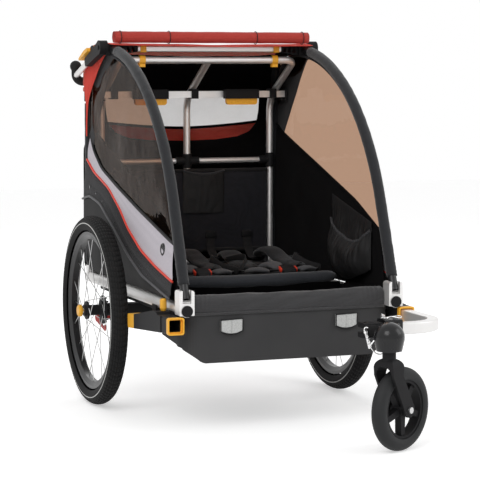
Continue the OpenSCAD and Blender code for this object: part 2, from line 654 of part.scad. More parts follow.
// The hitch pin hangs from a wire bail that runs through the head's cross hole
module hitch_pin() {
    y = -bar_y - head_w / 2 - 8;
    color([0.8, 0.8, 0.8]) {
        rod([head_x + 2, y, recv_z - 4], [head_x + 12, y, recv_z - 40], 4);
        translate([head_x + 1, y, recv_z]) sphere(6);
        rod([head_x + 33, -bar_y + head_w / 2 + 3, recv_z - 10], [head_x + 33, y, recv_z - 10], 1.6);
        rod([head_x + 33, y, recv_z - 10], [head_x + 11, y, recv_z - 35], 1.6);
        translate([head_x + 33, y, recv_z - 10]) sphere(2.2);
    }
}
module hitch_strap() {
    w = bar_side + 2 * seat;
    color([0.1, 0.1, 0.1]) translate([bar_end + seat, -bar_y, recv_z]) rotate([90, 0, 90]) difference() {
        linear_extrude(7) square_rounded(w + 5, 5);
        translate([0, 0, -1]) linear_extrude(9) square_rounded(w, 4);
    }
}
clamp_x0 = bar_end + 8;
clamp_len = 46;
dome_z = recv_z - 3;
cut_z = dome_z - 31;
module caster_mount() {
    arm_y = -bar_y - bar_side / 2 - 6;
    color([0.2, 0.2, 0.21]) difference() {
        union() {
            translate([clamp_x0, -bar_y, recv_z]) rotate([90, 0, 90]) linear_extrude(clamp_len) square_rounded(bar_side + 20, 6);
            translate([0, 0, recv_z - 20]) linear_extrude(38) polygon([[swivel_x - 22, -swivel_y], [swivel_x + 24, -swivel_y],
                [clamp_x0 + clamp_len - 6, arm_y], [clamp_x0 + clamp_len - 6, arm_y + 8], [clamp_x0, arm_y + 8], [clamp_x0, arm_y - 4],
                [swivel_x - 4, -swivel_y + 60]]);
            intersection() {
                translate([swivel_x, -swivel_y, dome_z]) sphere(dome_r, $fn = 96);
                translate([swivel_x, -swivel_y, dome_z - 9]) cylinder(h = 60, r = dome_r + 5);
            }
            translate([swivel_x, -swivel_y, cut_z]) cylinder(h = 22.1, r1 = dome_r - 6, r2 = sqrt(dome_r * dome_r - 81), $fn = 96);
            translate([swivel_x, -swivel_y, cut_z - 3]) cylinder(h = 6, r = 17);
        }
        translate([clamp_x0 - 1, -bar_y, recv_z]) rotate([90, 0, 90]) linear_extrude(clamp_len + 2) square_rounded(bar_side + 2 * run, 4);
        translate([swivel_x, -swivel_y, cut_z - 9]) cylinder(h = 30, r = 8 + run);
    }
}
stem_top = cut_z + 18;
collar_z = cut_z - 3 - seat;
module at_caster() { translate([swivel_x, -swivel_y, 0]) rotate([0, 0, caster_turn]) children(); }
fork_in = caster_w / 2 + 4;
fork_t = 6;
// A broad arched crown over the tyre, with flat legs as wide as the crown
module caster_fork() {
    arch_z = 2 * caster_r - 14;
    crown_z = arch_z + 40;
    half = 20;
    out = fork_in + fork_t;
    foot = 18;
    color([0.18, 0.18, 0.19]) at_caster() difference() {
        union() {
            translate([0, 0, collar_z - 14]) cylinder(h = stem_top - collar_z + 14, r = 8);
            translate([0, 0, crown_z - 8]) cylinder(h = collar_z - crown_z + 8, r = 16);
            intersection() {
                translate([-half - 4, 0, 0]) rotate([90, 0, 90]) linear_extrude(2 * half + 8) polygon(rounded([[-out, arch_z],
                    [out, arch_z], [out, crown_z], [-out, crown_z]], [0, 0, 22, 22], 10));
                front_plane(out) linear_extrude(2 * out) polygon(rounded([[half - 2, arch_z - 1], [half + 4, crown_z],
                    [-half - 4, crown_z], [-half, arch_z - 1]], [0, 20, 20, 0], 10));
            }
            for (s = [-1, 1]) front_plane(s > 0 ? out : -fork_in) linear_extrude(fork_t) {
                polygon([[-half, arch_z], [half - 2, arch_z], [trail + foot, caster_r + 6], [trail - foot + 1, caster_r - 6]]);
                translate([trail, caster_r]) circle(foot);
            }
        }
        translate([-60, 0, arch_z]) rotate([0, 90, 0]) cylinder(h = 120, r = fork_in);
        translate([-60, -fork_in, arch_z - 30]) cube([120, 2 * fork_in, 30]);
        translate([trail, -60, caster_r]) rotate([-90, 0, 0]) cylinder(h = 120, r = 4 + run);
    }
}
module caster_bolt() {
    y = fork_in + fork_t;
    color([0.75, 0.75, 0.75]) at_caster() {
        rod([trail, -y - 1, caster_r], [trail, y + 1, caster_r], 4);
        for (s = [-1, 1]) rod([trail, s * (y + seat), caster_r], [trail, s * (y + 5), caster_r], 7.5);
    }
}
module caster_tyre() {
    color([0.1, 0.1, 0.1]) at_caster() translate([trail, 0, caster_r]) rotate([90, 0, 0]) difference() {
        rotate_extrude($fn = 128) translate([trail_c, 0]) circle(caster_w / 2);
        translate([0, 0, -40]) cylinder(h = 80, r = caster_r - 29 + seat, $fn = 96);
    }
}
module caster_rim() {
    r = caster_r - 29;
    w = 13;
    color([0.16, 0.16, 0.17]) at_caster() translate([trail, 0, caster_r]) rotate([90, 0, 0]) difference() {
        union() {
            difference() {
                translate([0, 0, -w]) cylinder(h = 2 * w, r = r, $fn = 96);
                translate([0, 0, -w - 1]) cylinder(h = 2 * w + 2, r = r - 7, $fn = 96);
            }
            translate([0, 0, -w - 4]) cylinder(h = 2 * w + 8, r = 17);
            for (i = [0:caster_spokes - 1]) rotate([0, 0, i * 360 / caster_spokes - 90]) translate([0, 0, -w + 4])
                linear_extrude(2 * w - 8) polygon([[10, -9], [24, -8], [r - 5, -7], [r - 5, 7], [24, 8], [10, 9]]);
        }
        translate([0, 0, -30]) cylinder(h = 60, r = 4 + run);
    }
}

// ---- front bar, elbows and latches -----------------------------------------

hub_r = 19;
hub_x = recv_x - 17;
module front_bar() {
    color([0.8, 0.8, 0.8]) difference() {
        translate([seat - flat_x - 15, top_bar_y, flat_z]) rotate([90, 0, 90]) linear_extrude(2 * (flat_x + 15 - seat))
            polygon(rounded([[-16, -flat_h / 2], [16, -flat_h / 2], [16, flat_h / 2], [-16, flat_h / 2]], [4, 4, 4, 4]));
        translate([-flat_x - 16, top_bar_y - 14, flat_z - flat_h / 2 + 2]) cube([2 * flat_x + 32, 28, flat_h - 4]);
    }
}
module elbow_arms() {
    hoop_top = hoop_cz + hoop_arc_r;
    color([0.14, 0.14, 0.15]) both() difference() {
        union() {
            front_plane(top_bar_y + 12) linear_extrude(24) difference() {
                polygon(rounded([[flat_x + 15, flat_z - 8], [rail_x - 16, flat_z - 18], [rail_x - 12, flat_z + 11],
                    [flat_x + 15, flat_z + 8]], [2, 6, 4, 2]));
                for (i = [0:2]) polygon([[flat_x + 21 + i * 14, flat_z - 7 - i], [flat_x + 31 + i * 14, flat_z - 9 - i],
                    [flat_x + 31 + i * 14, flat_z + 5], [flat_x + 26 + i * 14, flat_z + 5]]);
            }
            translate([rail_x - 18, top_bar_y - clamp_half + 2, hoop_top - 17]) cube([36, 2 * clamp_half - 4, 28]);
            rod([rail_x + 15, top_bar_y - 4, handle_z], [hub_x + 8, top_bar_y - 4, handle_z], hub_r);
            rod([hub_x, top_bar_y - 4, handle_z], [recv_x + 11, top_bar_y - 4, handle_z], 6);
        }
        hoop_bend(86, 100, hoop_r + run);
        translate([rail_x - 30, top_bar_y - 30, hoop_cz + sqrt(pow(hoop_arc_r + sleeve_r, 2) - pow(hoop_cy - top_bar_y + clamp_half, 2)) - 1])
            cube([44, 60, 40]);
    }
}
module bar_end_clips() {
    color([0.92, 0.66, 0.14]) both() translate([flat_x, top_bar_y, flat_z]) rotate([90, 0, 90]) difference() {
        translate([0, 0, -8]) linear_extrude(16) polygon(rounded([[-19, -flat_h / 2 - 1.5], [19, -flat_h / 2 - 1.5],
            [19, flat_h / 2 + 2], [-19, flat_h / 2 + 2]], [2, 2, 5, 5]));
        translate([0, 0, -9]) linear_extrude(18) polygon(rounded([[-16, -flat_h / 2], [16, -flat_h / 2],
            [16, flat_h / 2], [-16, flat_h / 2]], [4, 4, 4, 4]));
    }
}
// Channels on the rear legs of the hoops: the ends of the crossbar slide in from the front
module latch_catches() {
    y0 = crossbar_y - crossbar_w / 2;
    y1 = crossbar_y + crossbar_w / 2;
    x0 = leg_x + leg_r + 1;
    x1 = rail_x - 1.6;
    color([0.14, 0.14, 0.15]) both() difference() {
        union() {
            hoop_rear(catch_z - 19, catch_z + 19, sleeve_r - seat);
            translate([x1 - 4, y0 - 8, catch_z - 17]) cube([4, rear_leg_y - y0 + 8, 31]);
            translate([x0, y0 - 8, catch_z - 17]) cube([x1 - x0, crossbar_w + 12, 31]);
        }
        hoop_rear(catch_z - 20, catch_z + 20, hoop_r + run);
        translate([x0 - 1, y0 - 9, catch_z - 13.5]) cube([x1 - 4 - x0 + 1, crossbar_w + 9 + seat, 23]);
    }
}

// ---- folding seat frame ----------------------------------------------------

module on_slant() { translate([0, top_bar_y, top_bar_z]) rotate([-slant, 0, 0]) children(); }
module slant_tube(x, t0, t1, r, inner = 0) {
    on_slant() translate([x, t0, 0]) rotate([-90, 0, 0]) difference() {
        cylinder(h = t1 - t0, r = r);
        if (inner > 0) translate([0, 0, -1]) cylinder(h = t1 - t0 + 2, r = inner);
    }
}
// A leg from its knuckle up over the bend, in lengths joined over couplings
module leg(x, top) {
    bore = leg_r - tube_wall;
    c_out = leg_r - tube_wall / 2;
    rod([x - 8, leg_y, pivot_z], [x + 8, leg_y, pivot_z], 12, 5 + run);
    rod([x, leg_y, pivot_z + 6], [x, leg_y, pivot_z + 18], bore - 0.1);
    rod([x, leg_y, pivot_z + 14.6], [x, leg_y, pivot_z + 26], c_out);
    rod([x, leg_y, pivot_z + 14], [x, leg_y, bend_z - butt], leg_r, bore);
    rod([x, leg_y, bend_z - 6], [x, leg_y, bend_z + 6], c_out, bore - 1.5);
    side_arc(x, leg_y - leg_bend, bend_z, leg_bend, 0, 90 - slant, leg_r, bore);
    slant_tube(x, slant_len - 6, slant_len + 6, c_out, bore - 1.5);
    slant_tube(x, top, slant_len - butt, leg_r, bore);
}
module seat_frame_tubes() {
    bend = 25;
    bore = leg_r - tube_wall;
    color([0.86, 0.86, 0.86]) {
        both() leg(leg_x, bend);
        leg(0, 14);
        slant_tube(0, 0, 14, leg_r);
        on_slant() {
            rod([bend - leg_x, 0, 0], [leg_x - bend, 0, 0], leg_r, bore);
            for (s = [-1, 1]) translate([s * (leg_x - bend), bend, 0]) rotate([0, 0, s > 0 ? -90 : 180])
                rotate_extrude(angle = 90) section(bend, leg_r, bore);
        }
    }
}
module seat_pivots() {
    color([0.16, 0.16, 0.17]) for (x = [-leg_x, 0, leg_x]) {
        difference() {
            union() {
                for (s = [-1, 1]) side_plane(x + s * 10.2 - 1.8) linear_extrude(3.6)
                    polygon(rounded([[leg_y - 10, rail_z + 13.5], [leg_y + 32, rail_z + 13.5], [leg_y + 32, rail_z + 18],
                        [leg_y + 9, pivot_z + 11], [leg_y - 9, pivot_z + 11], [leg_y - 10, pivot_z]], [0, 0, 3, 8, 8, 0]));
                translate([x - 12, leg_y - 10, rail_z + 11.5]) cube([21.4, 42, 5]);
            }
            rod([-rail_x, rear_leg_y, rail_z], [rail_x, rear_leg_y, rail_z], cross_r + run);
            both() rod([rail_x, 0, rail_z], [rail_x, 400, rail_z], rail_r + seat);
        }
        rod([x - 13, leg_y, pivot_z], [x + 13, leg_y, pivot_z], 5);
    }
}
module mid_bar() {
    color([0.86, 0.86, 0.86]) both() difference() {
        rod([leg_r + seat, leg_y, mid_z], [leg_x - leg_r - seat, leg_y, mid_z], 8);
        rod([0, leg_y, mid_z], [leg_x, leg_y, mid_z], 8 - tube_wall);
    }
}
module tee_connectors() {
    color([0.12, 0.12, 0.12]) for (x = [-leg_x, 0, leg_x]) difference() {
        union() {
            rod([x, leg_y, mid_z - 20], [x, leg_y, mid_z + 20], leg_r + 3.5);
            for (s = [-1, 1]) if (abs(x + s * 30) < leg_x) rod([x, leg_y, mid_z], [x + s * 34, leg_y, mid_z], 12);
        }
        rod([x, leg_y, mid_z - 21], [x, leg_y, mid_z + 21], leg_r + run);
        rod([x - 40, leg_y, mid_z], [x + 40, leg_y, mid_z], 8 + run);
    }
}
housing_y = crossbar_y - crossbar_w / 2 - 22;
saddle_x = leg_x - leg_r - 8;
module rear_crossbar() {
    w = rail_x - 1.6 - 4 - 1;
    color([0.8, 0.8, 0.8]) difference() {
        translate([-w, crossbar_y - crossbar_w / 2, catch_z - crossbar_h / 2]) cube([2 * w, crossbar_w, crossbar_h]);
        translate([-w - 1, crossbar_y - crossbar_w / 2 + tube_wall, catch_z - crossbar_h / 2 + tube_wall])
            cube([2 * w + 2, crossbar_w - 2 * tube_wall, crossbar_h - 2 * tube_wall]);
    }
}
// Saddles hang the crossbar from the legs; the housings guide the fold grips
module grip_housings() {
    color([0.13, 0.13, 0.14]) {
        for (x = [-134, 134]) difference() {
            translate([x - grip_w / 2 - 4, housing_y, catch_z - 12]) cube([grip_w + 8, 22 - seat, 26]);
            translate([x - grip_w / 2 - 1, housing_y + 4, catch_z - 13]) cube([grip_w + 2, 14, 18]);
        }
        for (x = [saddle_x, 0, -saddle_x]) difference() {
            translate([x - leg_r, crossbar_y - crossbar_w / 2 - 3, catch_z - crossbar_h / 2 - 3])
                cube([2 * leg_r, crossbar_w + 19, crossbar_h + 9]);
            translate([x - 40, crossbar_y - crossbar_w / 2 - run, catch_z - crossbar_h / 2 - run])
                cube([80, crossbar_w + 2 * run, crossbar_h + 2 * run]);
            on_slant() translate([x == 0 ? 0 : sign(x) * leg_x, 60, 0]) rotate([-90, 0, 0])
                cylinder(h = slant_len, r = leg_r + run);
        }
    }
}
module fold_grip(s) {
    color([0.92, 0.66, 0.14]) scale_x(s) difference() {
        translate([134 - grip_w / 2, housing_y + 5, catch_z - 29]) rotate([90, 0, 0]) mirror([0, 0, 1]) linear_extrude(12)
            polygon(rounded([[0, 0], [grip_w, 0], [grip_w, 24], [0, 24]], [8, 8, 1, 1]));
        for (i = [-3:3]) translate([134 + i * 11, housing_y + 4, catch_z - 27]) cylinder(h = 9, r = 2);
    }
}
module bar_collars() {
    color([0.92, 0.66, 0.14]) both() difference() {
        union() {
            rod([flat_x - 8, top_bar_y, top_bar_z], [flat_x + 8, top_bar_y, top_bar_z], leg_r + 3.5);
            translate([flat_x - 8, top_bar_y - 8, top_bar_z - leg_r - 9]) cube([16, 16, 12]);
        }
        rod([flat_x - 9, top_bar_y, top_bar_z], [flat_x + 9, top_bar_y, top_bar_z], leg_r + run);
    }
}

// ---- handlebar -------------------------------------------------------------

module at_arm() { translate([recv_x, top_bar_y - 4, handle_z]) rotate([-handle_drop, 0, 0]) children(); }
arm_w = 17;
housing_len = 138;
module handlebar_arms() {
    color([0.13, 0.13, 0.14]) both() at_arm() difference() {
        union() {
            rotate([0, 90, 0]) translate([0, 0, -arm_w / 2]) cylinder(h = arm_w, r = hub_r);
            side_plane(-arm_w / 2) linear_extrude(arm_w) polygon(rounded([[0, -hub_r + 1], [housing_len - 6, -13],
                [housing_len, -8], [housing_len, 10], [housing_len - 6, 12.5], [60, 13.5], [0, hub_r - 1]],
                [0, 6, 4, 4, 6, 20, 0]));
            for (x = [-arm_w / 2, arm_w / 2 - 3.5]) side_plane(x) linear_extrude(3.5)
                polygon(rounded([[46, 12], [76, 12], [70, 24], [56, 24]], [0, 0, 5, 5]));
            rod([-arm_w / 2, 63, 19], [arm_w / 2, 63, 19], 2.5);
        }
        rotate([0, 90, 0]) translate([0, 0, -20]) cylinder(h = 40, r = 6 + run);
        rod([0, 90, 0], [0, housing_len + 10, 0], leg_r - 2 + run);
    }
}
module handlebar_tube() {
    color([0.8, 0.8, 0.8]) {
        both() {
            at_arm() rod([0, 92, 0], [0, arm_len, 0], leg_r - 2);
            rod([recv_x, grip_y, grip_z + grip_bend], [recv_x, grip_y, grip_z + 40], handle_r);
            translate([recv_x - grip_bend, grip_y, grip_z + grip_bend]) rotate([90, 0, 0]) rotate([0, 0, -90])
                rotate_extrude(angle = 90) translate([grip_bend, 0]) circle(handle_r);
        }
        rod([grip_bend - recv_x, grip_y, grip_z], [recv_x - grip_bend, grip_y, grip_z], handle_r);
    }
}
module grip_shape(r, ball) {
    both() {
        rod([recv_x, grip_y, grip_z + grip_bend], [recv_x, grip_y, grip_z + 42], r);
        if (ball > 0) translate([recv_x, grip_y, grip_z + 42]) sphere(ball);
        translate([recv_x - grip_bend, grip_y, grip_z + grip_bend]) rotate([90, 0, 0]) rotate([0, 0, -90])
            rotate_extrude(angle = 90) translate([grip_bend, 0]) circle(r);
    }
    rod([grip_bend - recv_x, grip_y, grip_z], [recv_x - grip_bend, grip_y, grip_z], r);
}
module handlebar_grip() {
    color([0.09, 0.09, 0.09]) difference() {
        grip_shape(foam_r, foam_r + 4);
        grip_shape(handle_r + run, 0);
        both() at_arm() rod([0, arm_len - 60, 0], [0, arm_len + 2, 0], leg_r - 2 + run);
    }
}
module handlebar_lever(s) {
    color([0.92, 0.66, 0.14]) scale_x(s) at_arm() difference() {
        union() {
            side_plane(-4.7) linear_extrude(9.4) polygon(rounded([[61.5, 14.4], [58.4, 17.2], [56, 22], [66, 25], [120, 25],
                [170, 21], [170, 17], [120, 15.5], [76, 14.4]], [1, 1, 3, 6, 20, 1.8, 1.8, 20, 2]));
            side_plane(-7) linear_extrude(22) polygon(rounded([[84, 15.5], [84, 26], [120, 28], [172, 23], [172, 16],
                [120, 16.5]], [2, 3, 20, 3, 3, 20]));
        }
        rod([-10, 63, 19], [10, 63, 19], 2.5 + run);
    }
}

// ---- cloth and padding -----------------------------------------------------

// The hoop's inner outline in the side plane, moved in by t, from front to rear
function hoop_line(t, n = 24) = concat(
    arc(hoop_cy, hoop_cz, hoop_arc_r - t, 180 - hoop_lean, 90 - roof_fall, n),
    arc(roof_cy, roof_cz, corner_r - t, 90 - roof_fall, 0, 8));
cloth_in = sleeve_r + 1;
panel_z = rail_z + rail_r + seat;
pocket_h = 82;
window_edge = [[rear_leg_y - cloth_in, 720], [230, 666], [153, 620], [4, 578], [-177, 531], [-309, 500]];
module side_panels() {
    pocket_x = leg_x + leg_r + 2.5;
    low = lean_at(sleeve_z0, cloth_in);
    color([0.12, 0.12, 0.13]) both() {
        side_plane(rail_x - cloth / 2) linear_extrude(cloth) polygon(concat(
            [[low, sleeve_z0 - 6], [lean_at(466, cloth_in), 466]], [for (i = [5:-1:0]) window_edge[i]],
            [[rear_leg_y - cloth_in, panel_z + 18], [rear_leg_y - 26, panel_z], [-rail_front + 46, panel_z]]));
        // low enough for the crossbar's ends to pass over when the seat frame is folded
        translate([pocket_x, -400, 352]) difference() {
            cube([rail_x - cloth / 2 - pocket_x, 250, pocket_h]);
            translate([3, 4, 4]) cube([rail_x - cloth / 2 - pocket_x - 3, 242, pocket_h]);
        }
    }
    color([0.12, 0.12, 0.13]) side_plane(-252) linear_extrude(504) {
        polygon([[-bumper_front + 8, bumper_z1 + seat], [-bumper_front + 14, bumper_z1 + seat],
            [-bumper_front + 14, bumper_z1 + 34], [-bumper_front + 8, bumper_z1 + 34]]);
        translate([-bumper_front + 14, bumper_z1 + 36]) circle(8);
    }
}
module side_windows() {
    color([0.6, 0.55, 0.48, 0.5]) both() side_plane(rail_x - cloth / 4) linear_extrude(cloth / 2) polygon(concat(
        [[lean_at(466 + seat, cloth_in), 466 + seat]], hoop_line(cloth_in), [for (p = window_edge) p + [0, seat]]));
}
module canopy() {
    out = sleeve_r + seat;
    line = concat(arc(hoop_cy, hoop_cz, hoop_arc_r + out, 98.5, 90 - roof_fall, 8),
        arc(roof_cy, roof_cz, corner_r + out, 90 - roof_fall, 0, 8));
    back = concat(arc(roof_cy, roof_cz, corner_r + out + cloth, 0, 90 - roof_fall, 8),
        arc(hoop_cy, hoop_cz, hoop_arc_r + out + cloth, 90 - roof_fall, 98.5, 8));
    color([0.1, 0.1, 0.1]) side_plane(-rail_x - sleeve_r) linear_extrude(2 * rail_x + 2 * sleeve_r) polygon(concat(line, back));
    w = rail_x + sleeve_r;
    color([0.75, 0.1, 0.1]) translate([-w, rear_leg_y + sleeve_r + seat, rail_z + 20])
        cube([2 * w, cloth, roof_cz - rail_z - 20]);
}
module rolled_cover() {
    y = 40;
    z = hoop_cz + sqrt(pow(hoop_arc_r + sleeve_r + cloth + 2 * seat, 2) - pow(hoop_cy - y, 2)) + roll_r;
    color([0.85, 0.28, 0.22]) translate([0, y, z]) rotate([0, 90, 0]) rotate_extrude()
        polygon([[0, -282], [roll_r - 2, -282], [roll_r, -270], [roll_r, -180], [roll_r, 180], [roll_r, 270],
            [roll_r - 2, 282], [0, 282]]);
}
module seat_base() {
    top = rail_z + cross_r + seat;
    color([0.15, 0.15, 0.16]) side_plane(-tub_x + 10) linear_extrude(2 * tub_x - 20) {
        polygon([[-seat_tube_y - 14, top], [leg_y - 22, top], [leg_y - 22, top + 15], [-seat_tube_y - 14, top + 15]]);
        translate([-seat_tube_y - 14, top + 14]) circle(14);
    }
}
// A sling between the outer legs, in front of the middle one
module seat_back() {
    w = leg_x - leg_r - 1;
    y = leg_y - leg_r - 1 - seat;
    color([0.13, 0.13, 0.14]) side_plane(-w) linear_extrude(2 * w)
        polygon(rounded([[y - 5, 372], [y, 372], [y, mid_z - 21], [y - 5, mid_z - 21]], [1, 1, 2, 2]));
}
// Two sets of shoulder, lap and crotch webbing lying on the seat, with buckles
module harnesses() {
    top = rail_z + cross_r + 15 + 2 * seat;
    color([0.1, 0.1, 0.1]) for (x = [-120, 120]) {
        for (s = [-1, 1]) translate([x + s * 55 - 12, -120, top]) cube([24, 330, 3]);
        translate([x - 70, -80, top]) cube([140, 24, 3]);
        translate([x - 12, -200, top]) cube([24, 130, 3]);
        translate([x - 26, -150, top]) linear_extrude(16) translate([26, 0]) square_rounded(46, 10);
    }
}

place() base_frame();
place() axle_beam();
place() rail_end_plugs();
place() axle_brackets();
place() wheel_axles();
place() release_button(-1);  // left_release_button
place() release_button(1);  // right_release_button
place() brake_bar();
place() floor_tub();
place() bumper();
place() front_reflectors();
place() hoop_brackets();
place() side_hoops();
place() hoop_sleeves();
place() receivers();
place() receiver_bezels();
place() lock_pin(-1);  // left_lock_pin
place() lock_pin(1);  // right_lock_pin
place() tow_bar();
place() hitch_head();
place() hitch_pin();
place() hitch_strap();
place() caster_mount();
place() caster_fork();
place() caster_bolt();
place() caster_tyre();
place() caster_rim();
place() tyre(-1);  // left_tyre
place() rim(-1);  // left_rim
place() spokes(-1);  // left_spokes
place() hub(-1);  // left_hub
place() tyre(1);  // right_tyre
place() rim(1);  // right_rim
place() spokes(1);  // right_spokes
place() hub(1);  // right_hub
place() front_bar();
place() elbow_arms();
place() bar_end_clips();
place() latch_catches();
place() seat_pivots();
place() seat_frame_tubes();
place() mid_bar();
place() tee_connectors();
place() rear_crossbar();
place() grip_housings();
place() fold_grip(-1);  // left_fold_grip
place() fold_grip(1);  // right_fold_grip
place() bar_collars();
place() handlebar_arms();
place() handlebar_tube();
place() handlebar_grip();
place() handlebar_lever(-1);  // left_handlebar_lever
place() handlebar_lever(1);  // right_handlebar_lever
place() side_panels();
place() side_windows();
place() canopy();
place() rolled_cover();
place() seat_base();
place() seat_back();
place() harnesses();
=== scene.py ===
import bpy, bmesh, json
from math import sin, cos, pi, radians, sqrt, atan2
from mathutils import Vector, Matrix, noise

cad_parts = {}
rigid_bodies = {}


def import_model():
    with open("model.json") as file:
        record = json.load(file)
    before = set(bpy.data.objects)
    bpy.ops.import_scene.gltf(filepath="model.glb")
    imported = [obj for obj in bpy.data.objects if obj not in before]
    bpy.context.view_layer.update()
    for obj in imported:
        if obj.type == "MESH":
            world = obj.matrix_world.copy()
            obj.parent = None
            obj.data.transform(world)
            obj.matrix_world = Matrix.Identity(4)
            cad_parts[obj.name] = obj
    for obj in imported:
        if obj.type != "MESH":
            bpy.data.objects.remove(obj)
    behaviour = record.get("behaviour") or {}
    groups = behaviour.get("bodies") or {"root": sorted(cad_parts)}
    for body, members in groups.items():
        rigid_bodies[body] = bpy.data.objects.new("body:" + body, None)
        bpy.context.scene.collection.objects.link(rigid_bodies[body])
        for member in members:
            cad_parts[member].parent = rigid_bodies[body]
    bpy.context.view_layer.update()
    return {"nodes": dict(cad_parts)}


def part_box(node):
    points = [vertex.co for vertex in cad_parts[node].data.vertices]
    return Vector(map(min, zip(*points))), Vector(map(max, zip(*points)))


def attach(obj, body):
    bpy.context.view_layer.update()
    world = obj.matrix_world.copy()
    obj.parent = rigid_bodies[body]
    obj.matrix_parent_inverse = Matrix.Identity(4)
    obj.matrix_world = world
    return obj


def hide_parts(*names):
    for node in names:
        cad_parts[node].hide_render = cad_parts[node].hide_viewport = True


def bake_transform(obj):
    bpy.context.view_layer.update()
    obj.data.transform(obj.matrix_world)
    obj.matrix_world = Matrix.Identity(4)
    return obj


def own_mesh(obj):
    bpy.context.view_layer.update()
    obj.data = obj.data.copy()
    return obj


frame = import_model()
axleLow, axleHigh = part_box("wheel_axles")
axleY = (axleLow.y + axleHigh.y) / 2  # every Y below is counted from the wheel axle
print("frame loaded, axle at", round(axleY, 4))


def at(x, y, z):
    return Vector((x, y + axleY, z))


def sideName(side):
    return "left" if side < 0 else "right"


def evenly(count):
    # equal steps from -1 to 1, both ends among them
    return [-1 + 2 * k / count for k in range(count + 1)]


def acrossRow(reach, y, z, count=30):
    return [at(reach * u, y, z) for u in evenly(count)]


def groupStart(name, inputs, outputs):
    group = bpy.data.node_groups.new(name, "ShaderNodeTree")
    for label, value in inputs:
        socket = group.interface.new_socket(name=label, in_out="INPUT", socket_type="NodeSocketFloat")
        socket.default_value = value
    for label in outputs:
        group.interface.new_socket(name=label, in_out="OUTPUT", socket_type="NodeSocketFloat")
    return group, group.nodes.new("NodeGroupInput"), group.nodes.new("NodeGroupOutput")


def mathNode(tree, operation, a, b=None, clamp=False):
    node = tree.nodes.new("ShaderNodeMath")
    node.operation = operation
    node.use_clamp = clamp
    for slot, value in ((0, a), (1, b)):
        if value is None:
            continue
        if isinstance(value, (int, float)):
            node.inputs[slot].default_value = value
        else:
            tree.links.new(value, node.inputs[slot])
    return node.outputs[0]


def makeWeaveGroup():
    # plain weave: threads along each axis, so a panel shows the two that cross it
    group, source, sink = groupStart("plainWeave", (("Thread pitch", 0.0014), ("Slub", 0.5)),
        ("Height", "Tone"))
    place = group.nodes.new("ShaderNodeTexCoord")
    split = group.nodes.new("ShaderNodeSeparateXYZ")
    group.links.new(place.outputs["Object"], split.inputs[0])
    slub = group.nodes.new("ShaderNodeTexNoise")
    slub.inputs["Scale"].default_value = 160
    slub.inputs["Detail"].default_value = 3
    group.links.new(place.outputs["Object"], slub.inputs["Vector"])
    frequency = mathNode(group, "DIVIDE", 2 * pi, source.outputs["Thread pitch"])
    total = None
    for axis in range(3):
        wave = mathNode(group, "SINE", mathNode(group, "MULTIPLY", split.outputs[axis], frequency))
        total = wave if total is None else mathNode(group, "ADD", total, wave)
    soft = mathNode(group, "MULTIPLY", slub.outputs[0], source.outputs["Slub"])
    group.links.new(mathNode(group, "ADD", mathNode(group, "MULTIPLY", total, 0.25), soft),
        sink.inputs["Height"])
    group.links.new(mathNode(group, "ADD", mathNode(group, "MULTIPLY", total, 0.12),
        mathNode(group, "ADD", soft, 0.4), True), sink.inputs["Tone"])
    return group


def makeGrainGroup():
    # moulded or cast grain with a slow drift in tone
    group, source, sink = groupStart("mouldedGrain", (("Grain", 900.0), ("Drift", 9.0)),
        ("Height", "Tone", "Rough"))
    place = group.nodes.new("ShaderNodeTexCoord")
    fine = group.nodes.new("ShaderNodeTexNoise")
    fine.inputs["Detail"].default_value = 2
    slow = group.nodes.new("ShaderNodeTexNoise")
    slow.inputs["Detail"].default_value = 4
    for node, label in ((fine, "Grain"), (slow, "Drift")):
        group.links.new(place.outputs["Object"], node.inputs["Vector"])
        group.links.new(source.outputs[label], node.inputs["Scale"])
    group.links.new(fine.outputs[0], sink.inputs["Height"])
    group.links.new(slow.outputs[0], sink.inputs["Tone"])
    both = mathNode(group, "ADD", mathNode(group, "MULTIPLY", fine.outputs[0], 0.4),
        mathNode(group, "MULTIPLY", slow.outputs[0], 0.6), True)
    group.links.new(both, sink.inputs["Rough"])
    return group


def makeBrushGroup():
    # drawing lines along a tube or plate: noise pulled out along one axis
    group, source, sink = groupStart("drawnLines", (("Along X", 12.0), ("Along Y", 700.0), ("Along Z", 12.0)),
        ("Height", "Rough"))
    place = group.nodes.new("ShaderNodeTexCoord")
    stretch = group.nodes.new("ShaderNodeCombineXYZ")
    for slot, label in enumerate(("Along X", "Along Y", "Along Z")):
        group.links.new(source.outputs[label], stretch.inputs[slot])
    scaled = group.nodes.new("ShaderNodeVectorMath")
    scaled.operation = "MULTIPLY"
    group.links.new(place.outputs["Object"], scaled.inputs[0])
    group.links.new(stretch.outputs[0], scaled.inputs[1])
    lines = group.nodes.new("ShaderNodeTexNoise")
    lines.inputs["Scale"].default_value = 1
    lines.inputs["Detail"].default_value = 3
    group.links.new(scaled.outputs[0], lines.inputs["Vector"])
    group.links.new(lines.outputs[0], sink.inputs["Height"])
    group.links.new(mathNode(group, "ADD", mathNode(group, "MULTIPLY", lines.outputs[0], 0.3), 0.16, True),
        sink.inputs["Rough"])
    return group


weaveGroup = makeWeaveGroup()
grainGroup = makeGrainGroup()
brushGroup = makeBrushGroup()


def startMaterial(name, settings):
    material = bpy.data.materials.new(name)
    material.use_nodes = True
    shader = material.node_tree.nodes["Principled BSDF"]
    for label, value in settings.items():
        shader.inputs[label].default_value = value
    return material, material.node_tree, shader


def addGroup(tree, group, values):
    node = tree.nodes.new("ShaderNodeGroup")
    node.node_tree = group
    for label, value in values.items():
        node.inputs[label].default_value = value
    return node


